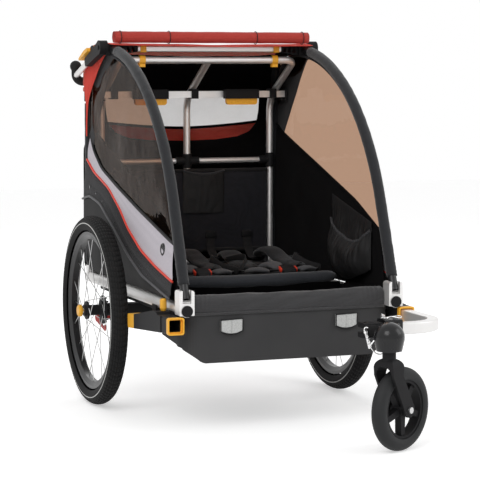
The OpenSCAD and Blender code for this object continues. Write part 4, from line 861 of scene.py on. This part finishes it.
def makeFrontFlap():
    rows = []
    for u in evenly(flap["columns"]):
        x = flap["half"] * u
        row = spread(sideLine(flap["profile"], x), 26)
        for i, p in enumerate(row):
            t = i / 25
            ends = max(0.0, (abs(u) - 0.72) / 0.28)
            waver = 2.5 * noise.noise(Vector((x * 30, t * 2, 0)))
            pleat = sin(x * 520 + t * 5 + waver) * ends * 0.0022 * sin(pi * min(1, t * 1.15))
            slack = 0.0034 * noise.noise(Vector((x * 13 + 6 * t, t * 3.5, 7)))
            slack += 0.0018 * noise.noise(Vector((x * 42 + 12 * t, t * 6, 3)))
            p.y -= (pleat + slack) * (1 if t > 0.45 else 0.3)
            p.z += (pleat + slack) * (0.9 if 0.2 < t < 0.6 else 0.2) - 0.0025 * (1 - u * u) * sin(pi * t)
            if t > 0.75:
                p.z += 0.004 * (t - 0.75) * 4 * max(0.0, -u - 0.4)
        rows.append(row)
    piece = addPiece("frontFlap", sheetFrom(rows), [flapCloth], wall=0.0014, sub=1)
    hem = []
    for k, u in enumerate(evenly(60)):
        hem.append(at(flap["half"] * u, -0.5195, 0.2975 + ripple(Vector((k * 0.01, 0, 0)), 20, 0.0006)))
    addTube("flapHem", hem, 0.0022, flapCloth, flat=1.5)


flapCloth = fabric("flapCloth", (0.012, 0.012, 0.013), (0.034, 0.033, 0.035), 0.0011, 0.4, 0.6, 0.35)
makeFrontFlap()
print("front flap made")

seat = {"half": 0.240, "front": -0.266, "rear": 0.222, "low": 0.3235, "top": 0.346, "voxel": 0.006,
    "pressure": 3.5, "cap": 0.009, "channels": (-0.175, -0.055, 0.075)}


def swell(piece, pressure, cap, frames=14):
    # air pressure in a closed skin, held to a few millimetres
    scene = bpy.context.scene
    start = [v.co.copy() for v in piece.data.vertices]
    cloth = piece.modifiers.new("cloth", "CLOTH")
    cloth.settings.use_pressure = True
    cloth.settings.uniform_pressure_force = pressure
    cloth.settings.effector_weights.gravity = 0
    cloth.settings.quality = 4
    cloth.point_cache.frame_start = 1
    cloth.point_cache.frame_end = frames
    for frameNumber in range(1, frames + 1):
        scene.frame_set(frameNumber)
    settled = piece.evaluated_get(bpy.context.evaluated_depsgraph_get()).to_mesh()
    moved = [v.co.copy() for v in settled.vertices]
    piece.modifiers.remove(cloth)
    for v, was, now in zip(piece.data.vertices, start, moved):
        push = now - was
        if push.length > cap:
            push *= cap / push.length
        v.co = was + push
    scene.frame_set(1)


def remeshed(piece, voxel):
    grid = piece.modifiers.new("voxels", "REMESH")
    grid.mode = "VOXEL"
    grid.voxel_size = voxel
    fresh = bpy.data.meshes.new_from_object(piece.evaluated_get(bpy.context.evaluated_depsgraph_get()))
    piece.modifiers.clear()
    old = piece.data
    materials = list(old.materials)
    piece.data = fresh
    bpy.data.meshes.remove(old)
    if not fresh.materials:
        for material in materials:
            fresh.materials.append(material)


def makePad(name, shape, material, body, voxel, pressure, cap, dent=None, **more):
    piece = addPiece(name, shape, [material], body, **more)
    remeshed(piece, voxel)
    swell(piece, pressure, cap)
    if dent:
        for v in piece.data.vertices:
            v.co += dent(v.co)
    for face in piece.data.polygons:
        face.use_smooth = True
    soft = piece.modifiers.new("smooth", "SUBSURF")
    soft.levels = soft.render_levels = 1
    return piece


def makeSeatPad():
    # the bottom pad between the rails, sewn in two channels
    centre = at(0, (seat["front"] + seat["rear"]) / 2 + 0.012, (seat["low"] + seat["top"]) / 2 - 0.002)
    size = (2 * seat["half"] - 0.012, seat["rear"] - seat["front"] - 0.040, seat["top"] - seat["low"] - 0.010)
    pad = boxShape(centre, size, 0.007, segments=3)

    def channel(p):
        y = p.y - axleY
        push = 0.0
        if p.z > 0.334:
            for line in seat["channels"]:
                push -= 0.0045 * 2.7 ** (-((y - line) / 0.006) ** 2)
            push -= 0.0035 * 2.7 ** (-(p.x / 0.005) ** 2)
            push += 0.0022 * noise.noise(p * 22)
        return Vector((0, 0, push))

    piece = makePad("seatPad", pad, seatCloth, "chassis", seat["voxel"], seat["pressure"], seat["cap"],
        channel, stands=("seat_base",))
    # the round front edge, slightly bowed, ends turned back
    line = [at(0.246 * u, -0.250 + 0.022 * abs(u) ** 6, 0.3415 + 0.003 * u ** 2) for u in evenly(48)]

    def thickness(t):
        return (1 - 0.5 * abs(2 * t - 1) ** 14) * (1 + 0.02 * noise.noise(Vector((t * 9, 2, 2))))

    roll = tubeShape(line, 0.0178, 28, radiusAt=thickness, flat=0.98)
    for v in roll.verts:
        v.co += Vector((0, ripple(v.co, 14, 0.0012), ripple(v.co, 18, 0.0014)))
    edge = addPiece("seatFrontRoll", roll, [rollCloth])


def makeWellCloth():
    # cloth that drops from the front roll, and strips over the rails down into the foot well
    rows = []
    for u in evenly(50):
        line = spread([at(0.250 * u, -0.263, 0.334), at(0.250 * u, -0.2585, 0.322),
            at(0.250 * u, -0.2530, 0.306), at(0.250 * u, -0.2520, 0.290)], 10)
        rows.append([p + Vector((0, ripple(p, 22, 0.0022), 0)) for p in line])
    drop = addPiece("seatSkirt", sheetFrom(rows), [liningClothPaintedShade], wall=0.0012, sub=1)
    for side in (-1, 1):
        cuff = tubeShape([at(side * x, -0.235, 0.310) for x in (0.2365, 0.247, 0.258, 0.268)], 0.0136, 20)
        addPiece(sideName(side) + "TubeCuff", cuff, [liningClothPaintedShade])
        rows = []
        for k in range(31):
            y = -0.470 + 0.222 * k / 30
            line = spread([at(side * 0.2765, y, 0.3330), at(side * 0.2700, y, 0.3290),
                at(side * 0.2610, y, 0.3190), at(side * 0.2580, y, 0.3050)], 9)
            rows.append([p + Vector((-side * abs(ripple(p, 30, 0.0016)), 0, 0)) for p in line])
        strip = addPiece(sideName(side) + "RailCloth", sheetFrom(rows), [liningClothPaintedShade], wall=0.0010, sub=1)


rollCloth = fabric("rollCloth", (0.012, 0.014, 0.018), (0.032, 0.035, 0.042), 0.0013, 0.35, 0.7)
makeSeatPad()
makeWellCloth()
print("seat pad made")

sling = {"half": 0.2385, "low": 0.374, "high": 0.608, "y": 0.2412}


def makeSeatBack():
    rows = []
    for u in evenly(48):
        row = []
        for i in range(27):
            t = i / 26
            p = at(sling["half"] * u, sling["y"], sling["low"] + (sling["high"] - sling["low"]) * t)
            bow = -0.006 * (1 - u * u) * sin(pi * t)
            p.y += bow + ripple(p, 11, 0.0035) * (1 - abs(u) ** 4) + ripple(p, 34, 0.0012)
            row.append(p)
        rows.append(row)
    cloth = addPiece("seatBackSling", sheetFrom(rows), [slingCloth], "seat_frame", wall=0.0022, sub=1,
        stands=("seat_back",))
    # hems along its lower and upper edge
    hems = []
    for z in (sling["low"] + 0.004, sling["high"] - 0.004):
        line = [at(sling["half"] * u, sling["y"] - 0.001 - 0.001 * sin(k), z)
            for k, u in enumerate(evenly(30))]
        hems.append(tubeShape(line, 0.0034, 8, flat=1.5))
    addPiece("slingHems", joinShapes(hems), [strapWeb], "seat_frame")


slingCloth = fabric("slingCloth", (0.006, 0.006, 0.008), (0.016, 0.016, 0.021), 0.0012, 0.15, 0.75)
makeSeatBack()
print("seat back made")

harness = {"web": 0.025, "thick": 0.0018, "rest": 0.356}


def webbing(points, width, thick, up=Vector((0, 0, 1)), twist=None):
    # a flat strap carried along a line, with rounded edges
    rows = []
    count = len(points)
    for i, p in enumerate(points):
        ahead = (points[min(i + 1, count - 1)] - points[max(i - 1, 0)]).normalized()
        side = ahead.cross(up)
        if side.length < 1e-3:
            side = Vector((1, 0, 0))
        side.normalize()
        rise = side.cross(ahead).normalized()
        if twist:
            turn = Matrix.Rotation(twist(i / (count - 1)), 3, ahead)
            side, rise = turn @ side, turn @ rise
        half, h = width / 2, thick / 2
        ring = ((-1, -0.4), (-1, 0.4), (-0.94, 1), (0.94, 1), (1, 0.4), (1, -0.4), (0.94, -1), (-0.94, -1))
        rows.append([p + side * (half * a) + rise * (h * b) for a, b in ring])
    return closedTube(rows)


def curveThrough(places, count=40):
    # an even, soft curve through a few places
    points = [at(*p) for p in places]
    fine = []
    for i in range(len(points) - 1):
        p0, p1, p2, p3 = points[max(i - 1, 0)], points[i], points[i + 1], points[min(i + 2, len(points) - 1)]
        for k in range(12):
            t = k / 12
            fine.append(0.5 * (2 * p1 + (p2 - p0) * t + (2 * p0 - 5 * p1 + 4 * p2 - p3) * t * t
                + (3 * p1 - p0 - 3 * p2 + p3) * t ** 3))
    fine.append(points[-1])
    return spread(fine, count)


def softPad(places, width, height, count=26):
    line = curveThrough(places, count)
    rows = []
    for i, p in enumerate(line):
        t = i / (count - 1)
        ahead = (line[min(i + 1, count - 1)] - line[max(i - 1, 0)]).normalized()
        side = ahead.cross(Vector((0, 0, 1))).normalized()
        rise = side.cross(ahead).normalized()
        tip = max(0.12, (1 - abs(2 * t - 1) ** 5)) ** 0.5
        w = width / 2 * tip * (1 + 0.06 * noise.noise(p * 40))
        h = height / 2 * tip * (1 + 0.30 * noise.noise(p * 55))
        row = []
        for k in range(20):
            c, s = cos(2 * pi * k / 20), sin(2 * pi * k / 20)
            row.append(p + side * w * c * (abs(c) ** -0.25 if abs(c) > 0.05 else 1) + rise * h * s)
        rows.append(row)
    return closedTube(rows)


def makeHarness(label, middle):
    z = harness["rest"]

    def around(side, places):
        return [(middle + side * a, y, z + c) for a, y, c in places]

    pads = []
    for k, side in enumerate((-1, 1)):
        x = middle + side * 0.052
        # padded sleeves that have slumped onto the seat
        pads.append(softPad([(x, 0.150, z + 0.010), (x + side * 0.006, 0.070, z + 0.026 + 0.008 * k),
            (x + side * 0.016, -0.010, z + 0.012), (x + side * 0.020, -0.085, z + 0.010),
            (x + side * 0.008, -0.140, z + 0.004)], 0.058, 0.020))
    blackPads = addPiece(label + "ShoulderPads", joinShapes(pads), [padCloth], sub=1, stands=("harnesses",))
    # places, width and height of each belly pad
    bellies = (
        ([(-0.048, -0.138, 0.006), (-0.030, -0.176, 0.018), (-0.016, -0.206, 0.008)], 0.050, 0.018),
        ([(0.090, -0.172, 0), (0.062, -0.190, 0.008), (0.032, -0.200, 0.004)], 0.034, 0.014),
        ([(-0.104, -0.168, 0.002), (-0.076, -0.190, 0.008), (-0.046, -0.198, 0.003)], 0.034, 0.014))
    greys = [softPad(around(1, places), width, height, 16) for places, width, height in bellies]
    greyPads = addPiece(label + "BellyPads", joinShapes(greys), [greyPadCloth], sub=1)
    straps = []
    shoulders = []
    w, t = harness["web"], harness["thick"]

    def strap(places, count, width=w, twist=None):
        straps.append(webbing(curveThrough(places, count), width, t, twist=twist))

    for side in (-1, 1):
        x = middle + side * 0.055
        shoulders.append(webbing(curveThrough([(x, 0.2375, 0.432), (x, 0.2365, 0.412),
            (x + side * 0.002, 0.2290, 0.381), (x, 0.196, 0.359), (x, 0.150, 0.358)]), w, t,
            Vector((0, -1, 0.3))))
        lap = [(0.118, 0.190, -0.004), (0.120, 0.050, 0.003), (0.112, -0.090, 0.004),
            (0.090, -0.165, -0.001), (0.036, -0.196, 0.004), (0.020, -0.205, 0.006)]
        strap(around(side, lap), 60, twist=lambda q, s=side: 0.35 * s * sin(q * 9))
        front = [(0.060, -0.130, 0.016), (0.040, -0.165, 0.020), (0.012, -0.200, 0.012)]
        strap(around(side, front), 24)
        tail = [(0.075, 0.030, 0.012), (0.100, -0.030, 0.020), (0.070, -0.080, 0.030),
            (0.090, -0.120, 0.012), (0.120, -0.150, 0.002)]
        strap(around(side, tail), 40, w * 0.8, lambda q, s=side: s * (0.5 + 1.3 * q))
    strap(around(1, [(0, -0.235, -0.004), (0, -0.222, 0.004), (0.001, -0.208, 0.006)]), 16)
    addPiece(label + "Straps", joinShapes(straps), [strapWeb])
    over = addPiece(label + "ShoulderStraps", joinShapes(shoulders), [strapWeb], None)
    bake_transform(over)
    # buckle with its two release ends
    body = boxShape(at(middle, -0.212, z + 0.009), (0.040, 0.034, 0.014), 0.0045,
        Matrix.Rotation(radians(18), 4, "X"), 3)
    tongue = boxShape(at(middle, -0.194, z + 0.014), (0.032, 0.016, 0.009), 0.003,
        Matrix.Rotation(radians(10), 4, "X"), 2)
    bar = boxShape(at(middle, -0.229, z + 0.003), (0.034, 0.006, 0.008), 0.002)
    addPiece(label + "Buckle", joinShapes([body, tongue, bar]), [blackPlastic], slot="black_plastic")
    ends = [boxShape(at(middle + side * 0.0215, -0.213, z + 0.009), (0.006, 0.020, 0.011), 0.0022,
        Matrix.Rotation(radians(18), 4, "X"), 2) for side in (-1, 1)]
    addPiece(label + "BuckleEnds", joinShapes(ends), [redPlastic], slot="red_paint")
    # strap slides on the shoulder straps
    for place, body, y, high, size in (("Upper", "seat_frame", 0.2355, 0.420, (0.034, 0.005, 0.016)),
            ("Lower", "chassis", 0.150, 0.3590, (0.034, 0.020, 0.005))):
        slides = [boxShape(at(middle + side * 0.055, y, high), size, 0.0015) for side in (-1, 1)]
        addPiece(label + place + "Slides", joinShapes(slides), [blackPlastic], body, slot="black_plastic")


padCloth = fabric("padCloth", (0.006, 0.006, 0.007), (0.020, 0.020, 0.022), 0.0016, 0.22, 0.75)
greyPadCloth = fabric("greyPadCloth", (0.035, 0.035, 0.038), (0.085, 0.085, 0.090), 0.0016, 0.2, 0.75)
redPlastic = moulded("redPlastic", (0.62, 0.035, 0.012), (0.80, 0.065, 0.03), 0.35)
for label, middle in (("left", -0.120), ("right", 0.120)):
    makeHarness(label, middle)
print("harnesses made")

pocket = {"x": 0.2655, "front": -0.414, "rear": -0.160, "low": 0.341, "dip": 0.444, "backFront": 0.500,
    "backRear": 0.560}


def makeSidePocket(side):
    # a gathered pocket on the inner side lining, its elastic top sagging open
    name = sideName(side)
    rows = []
    columns = 70
    for k in range(columns + 1):
        u = k / columns
        y = pocket["front"] + (pocket["rear"] - pocket["front"]) * u
        high = pocket["dip"] + (0.034 * ((0.34 - u) / 0.34) ** 2 if u < 0.34
            else 0.048 * ((u - 0.34) / 0.66) ** 1.7)
        row = []
        for i in range(25):
            t = i / 24
            low = pocket["low"] + 0.036 * abs(2 * u - 1) ** 1.6
            z = low + (high - low) * t
            swollen = 0.034 * sin(pi * min(1.0, t * 0.9 + 0.08)) ** 0.8
            bulge = (1 - abs(2 * u - 1) ** 3) * (swollen + 0.008 * t)
            fold = 0.0030 * noise.noise(Vector((u * 26, t * 1.3, 2))) * (0.5 + 0.8 * t)
            fold *= 1 - abs(2 * u - 1) ** 6
            small = 0.0022 * noise.noise(Vector((u * 60, t * 1.8, 5))) * (0.3 + t)
            fold += small + 0.005 * noise.noise(Vector((u * 6, t * 3, 9)))
            row.append(at(side * (pocket["x"] - bulge - fold), y, z))
        rows.append(row)
    top = [row[-1].copy() for row in rows]
    cloth = addPiece(name + "Pocket", sheetFrom(rows), [pocketClothPaintedShade], wall=0.0012, sub=1)
    addTube(name + "PocketElastic", spread(top, 90), 0.0030, elasticWeb, flat=1.4)
    # the cloth behind the pocket, drawn inward by the elastic and creased up to the window
    rows = []
    for k, p in enumerate(top):
        u = k / columns
        upper = pocket["backFront"] + (pocket["backRear"] - pocket["backFront"]) * u
        row = []
        for i in range(13):
            t = i / 12
            crease = 0.0045 * noise.noise(Vector((u * 15 + 2 * t, t * 2, 21)))
            crease += 0.002 * noise.noise(Vector((u * 45, t * 3, 6)))
            reach = pocket["x"] + 0.0035 - abs(p.x) - 0.004
            inward = abs(p.x) + 0.004 + reach * t ** 0.8 - crease * sin(pi * min(1, t + 0.2))
            row.append(Vector((side * inward, p.y, p.z - 0.004 + (upper - p.z + 0.004) * t)))
        rows.append(row)
    behind = addPiece(name + "PocketBack", sheetFrom(rows), [pocketClothPaintedShade], wall=0.0010, sub=1)
    seams = []
    for y, length in ((pocket["front"], 0.100), (pocket["rear"], 0.112)):
        x, low = side * (pocket["x"] + 0.001), pocket["low"] + 0.036
        seams.append(tubeShape([at(x, y, low + length * k / 20) for k in range(21)], 0.0026, 6))
    addPiece(name + "PocketSeams", joinShapes(seams), [pocketClothPaintedShade])


def makeBackPocket():
    rows = []
    for k in range(41):
        u = k / 40
        x = -0.019 + 0.124 * u
        row = []
        for i in range(17):
            t = i / 16
            depth = 0.010 * sin(pi * u) ** 0.6 * (0.3 + 0.7 * t)
            y = 0.2345 - depth - 0.0015 * noise.noise(Vector((u * 9, t * 4, 1)))
            row.append(at(x, y, 0.482 + (0.122 - 0.010 * sin(pi * u)) * t))
        rows.append(row)
    top = [row[-1].copy() for row in rows]
    cloth = addPiece("backPocket", sheetFrom(rows), [pocketClothPaintedShade], "seat_frame", wall=0.0012, sub=1)
    addTube("backPocketHem", top, 0.0022, elasticWeb, "seat_frame", flat=1.5)


# pocket cloth as dark as the lining: partly its own black, partly painted shade for the dark cabin inside
pocketClothPaintedShade = fabric("pocketClothPaintedShade", (0.0025, 0.0025, 0.0028), (0.008, 0.0078, 0.0085), 0.0016, 0.0, 0.6, 0.4)
elasticWeb = fabric("elasticWeb", (0.022, 0.022, 0.024), (0.050, 0.050, 0.054), 0.0008, 0.1, 0.7)
for side in (-1, 1):
    makeSidePocket(side)
makeBackPocket()
print("pockets made")

hitch = {"x": 0.0957, "y": -0.761, "z": 0.275}


def makeHitchHardware():
    x, y, z = hitch["x"], hitch["y"], hitch["z"]

    def near(places, count):
        return curveThrough([(x + a, y + b, z + c) for a, b, c in places], count)

    # D ring beside the dome, and the strap that carries it
    ring = near([(0.034, -0.026, 0.014), (0.040, -0.027, 0.016), (0.044, -0.027, 0.010),
        (0.044, -0.027, -0.014), (0.040, -0.027, -0.020), (0.030, -0.026, -0.019)], 40)
    addTube("hitchRing", ring, 0.0016, chromeWire, slot="chrome_wire")
    strap = webbing(near([(-0.010, -0.0235, 0.002), (0.010, -0.0245, 0.001), (0.032, -0.0265, -0.001),
        (0.044, -0.0290, -0.002), (0.040, -0.0310, -0.002), (0.020, -0.0275, -0.001)], 36), 0.026, 0.0026,
        Vector((0, -1, 0)))
    addPiece("hitchSafetyStrap", strap, [strapWeb])
    # the band of webbing round the square bar that the safety strap is sewn to
    low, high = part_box("hitch_strap")
    middle, half, corner = (low + high) / 2, (high.z - low.z) / 2 - 0.0012, 0.005
    turn = []
    for k in range(4):
        for i in range(9):
            a = pi / 2 * (k + i / 8)
            out = Vector((0, cos(a), sin(a))) * corner
            out += Vector((0, (1, -1, -1, 1)[k], (1, 1, -1, -1)[k])) * (half - corner)
            turn.append(middle + out)
    turn.append(turn[0].copy())
    width = high.x - low.x
    band = sheetFrom([[p + Vector((width * (i / 6 - 0.5), 0, 0)) for i in range(7)] for p in turn])
    addPiece("hitchBand", band, [strapWeb], stands=("hitch_strap",), wall=0.0022, sub=1)
    # chain of wire links, its clip and the loop that hangs under the strap
    links = []
    for k in range(5):
        c = at(x - 0.012 + 0.0025 * k, y - 0.031, z - 0.004 - 0.0072 * k)
        wide, deep = (1, 0.35) if k % 2 else (0.35, 1)
        turns = [2 * pi * i / 16 for i in range(17)]
        oval = [c + Vector((0.0030 * cos(a) * wide, 0.0030 * cos(a) * deep, 0.0052 * sin(a))) for a in turns]
        links.append(tubeShape(oval, 0.0009, 6, up=Vector((0, 1, 0))))
    loop = near([(-0.001, -0.032, -0.036), (0.010, -0.036, -0.050), (0.024, -0.038, -0.054),
        (0.033, -0.037, -0.046), (0.030, -0.035, -0.034), (0.020, -0.033, -0.030)], 44)
    links.append(tubeShape(loop, 0.0015, 8))
    addPiece("hitchChain", joinShapes(links), [chromeWire], slot="chrome_wire")
    head = discShape(at(x - 0.012, y - 0.0305, z + 0.006), (0, -1, 0.1), 0.0062, 0.006, 0.0016, 20)
    addPiece("hitchPinHead", head, [chromeWire], slot="chrome_wire")
    # hairpin clip and tie wire over the clamp
    clip = near([(0.046, -0.020, 0.027), (0.056, -0.021, 0.032), (0.078, -0.020, 0.028),
        (0.086, -0.019, 0.030), (0.082, -0.010, 0.031), (0.060, -0.006, 0.029), (0.048, -0.004, 0.027)], 50)
    knot = [at(x + 0.040 + 0.006 * cos(a) * (1 - a / 26), y - 0.012 + 0.005 * sin(a), z + 0.0265 + 0.0007 * a)
        for a in [0.35 * i for i in range(46)]]
    addPiece("hitchClip", joinShapes([tubeShape(clip, 0.0013, 8), tubeShape(knot, 0.0013, 7)]), [chromeWire],
        slot="chrome_wire")


makeHitchHardware()
print("hitch hardware made")


# soft pieces that get meshes of their own: the pockets on the side lining, and the shoulder pads on the seat
for label, side in (("left", -1), ("right", 1)):
    for name in ("Pocket", "PocketElastic", "PocketBack", "PocketSeams"):
        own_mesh(bpy.data.objects[label + name])
    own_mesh(bpy.data.objects[label + "ShoulderPads"])

reflector = {"x": 0.153, "front": -0.5224, "z": 0.265}


def makeReflector(side):
    # a moulded black surround, and two ribs that part the lens
    x = side * reflector["x"]
    line = []
    for a, b in ((-0.0285, 0.0165), (0.0285, 0.0185), (0.0285, -0.0115), (0.014, -0.0175), (0, -0.0192),
            (-0.014, -0.0175), (-0.0285, -0.0115), (-0.0285, 0.0165)):
        line.append(at(x + a, reflector["front"] - 0.0002, reflector["z"] + b))
    return tubeShape(line, 0.0016, 8, up=Vector((0, 1, 0)))


addPiece("reflectorRims", joinShapes([makeReflector(-1), makeReflector(1)]), [blackPlastic],
    slot="black_plastic")
ribs = [boxShape(at(side * reflector["x"], reflector["front"] - 0.0005, reflector["z"]),
    (0.0022, 0.0014, 0.034), 0.0005) for side in (-1, 1)]
addPiece("reflectorRibs", joinShapes(ribs), [reflectorLens], slot="reflector_clear")
print("reflectors made")

studio = {
    "worldLight": 0.55, "keyPower": 75.0, "fillPower": 32.0, "floorColour": 0.90, "floorGlow": 0.44,
    "sensor": 36, "lensToWidth": 1908.5 / 480, "heading": -0.36032, "tilt": 0.090666,
    "cameraPlace": (-1.76513, -4.85753, 0.89753)}


def areaLamp(name, place, target, size, power):
    lamp = bpy.data.objects.new(name, bpy.data.lights.new(name, "AREA"))
    lamp.data.shape = "RECTANGLE"
    lamp.data.size = size[0]
    lamp.data.size_y = size[1]
    lamp.data.energy = power
    lamp.location = place
    lamp.rotation_euler = (Vector(target) - Vector(place)).to_track_quat("-Z", "Y").to_euler()
    bpy.context.scene.collection.objects.link(lamp)


def whiteFor(tree):
    # the camera, and what mirrors or glass show, see plain white there
    path = tree.nodes.new("ShaderNodeLightPath")
    mirrorOrGlass = mathNode(tree, "MAXIMUM", path.outputs["Is Glossy Ray"],
        path.outputs["Is Transmission Ray"])
    return mathNode(tree, "MAXIMUM", path.outputs["Is Camera Ray"], mirrorOrGlass)


def makeStage():
    world = bpy.context.scene.world or bpy.data.worlds.new("studio")
    bpy.context.scene.world = world
    world.use_nodes = True
    tree = world.node_tree
    tree.nodes.clear()
    sink = tree.nodes.new("ShaderNodeOutputWorld")
    sky = tree.nodes.new("ShaderNodeBackground")
    plain = tree.nodes.new("ShaderNodeBackground")
    blend = tree.nodes.new("ShaderNodeMixShader")
    sky.inputs["Color"].default_value = (1, 1, 1, 1)
    sky.inputs["Strength"].default_value = studio["worldLight"]
    plain.inputs["Color"].default_value = (1, 1, 1, 1)
    plain.inputs["Strength"].default_value = 1.0
    tree.links.new(whiteFor(tree), blend.inputs[0])
    tree.links.new(sky.outputs[0], blend.inputs[1])
    tree.links.new(plain.outputs[0], blend.inputs[2])
    tree.links.new(blend.outputs[0], sink.inputs["Surface"])

    floorMesh = bpy.data.meshes.new("studioFloor")
    shape = bmesh.new()
    bmesh.ops.create_grid(shape, x_segments=1, y_segments=1, size=9)
    shape.to_mesh(floorMesh)
    floor = bpy.data.objects.new("studioFloor", floorMesh)
    bpy.context.scene.collection.objects.link(floor)
    material = bpy.data.materials.new("studioFloor")
    material.use_nodes = True
    tree = material.node_tree
    shader = tree.nodes["Principled BSDF"]
    shader.inputs["Base Color"].default_value = (studio["floorColour"],) * 3 + (1,)
    shader.inputs["Roughness"].default_value = 0.9
    # the camera sees the floor's own white plus what its shadows leave out
    glow = tree.nodes.new("ShaderNodeMix")
    glow.data_type = "RGBA"
    glow.inputs[6].default_value = (0, 0, 0, 1)
    glow.inputs[7].default_value = (studio["floorGlow"],) * 3 + (1,)
    tree.links.new(whiteFor(tree), glow.inputs[0])
    tree.links.new(glow.outputs[2], shader.inputs["Emission Color"])
    shader.inputs["Emission Strength"].default_value = 1.0
    floorMesh.materials.append(material)


def makeCamera():
    camera = bpy.data.objects.new("studioCamera", bpy.data.cameras.new("studioCamera"))
    camera.data.sensor_width = studio["sensor"]
    camera.data.lens = studio["lensToWidth"] * studio["sensor"]
    turn = Matrix.Rotation(studio["heading"], 4, "Z") @ Matrix.Rotation(pi / 2 - studio["tilt"], 4, "X")
    camera.matrix_world = Matrix.Translation(at(*studio["cameraPlace"])) @ turn
    camera.data.clip_end = 60
    bpy.context.scene.collection.objects.link(camera)
    bpy.context.scene.camera = camera


makeStage()
makeCamera()
areaLamp("keyLamp", at(-2.6, -3.2, 3.4), at(0, -0.2, 0.4), (2.4, 2.4), studio["keyPower"])
areaLamp("fillLamp", at(3.2, -2.0, 2.4), at(0, -0.2, 0.4), (2.2, 2.2), studio["fillPower"])
areaLamp("backLamp", at(0.5, 3.4, 3.0), at(0, 0, 0.5), (2.6, 1.6), studio["fillPower"])
view = bpy.context.scene.view_settings
view.view_transform = "Standard"
print("stage and camera set")
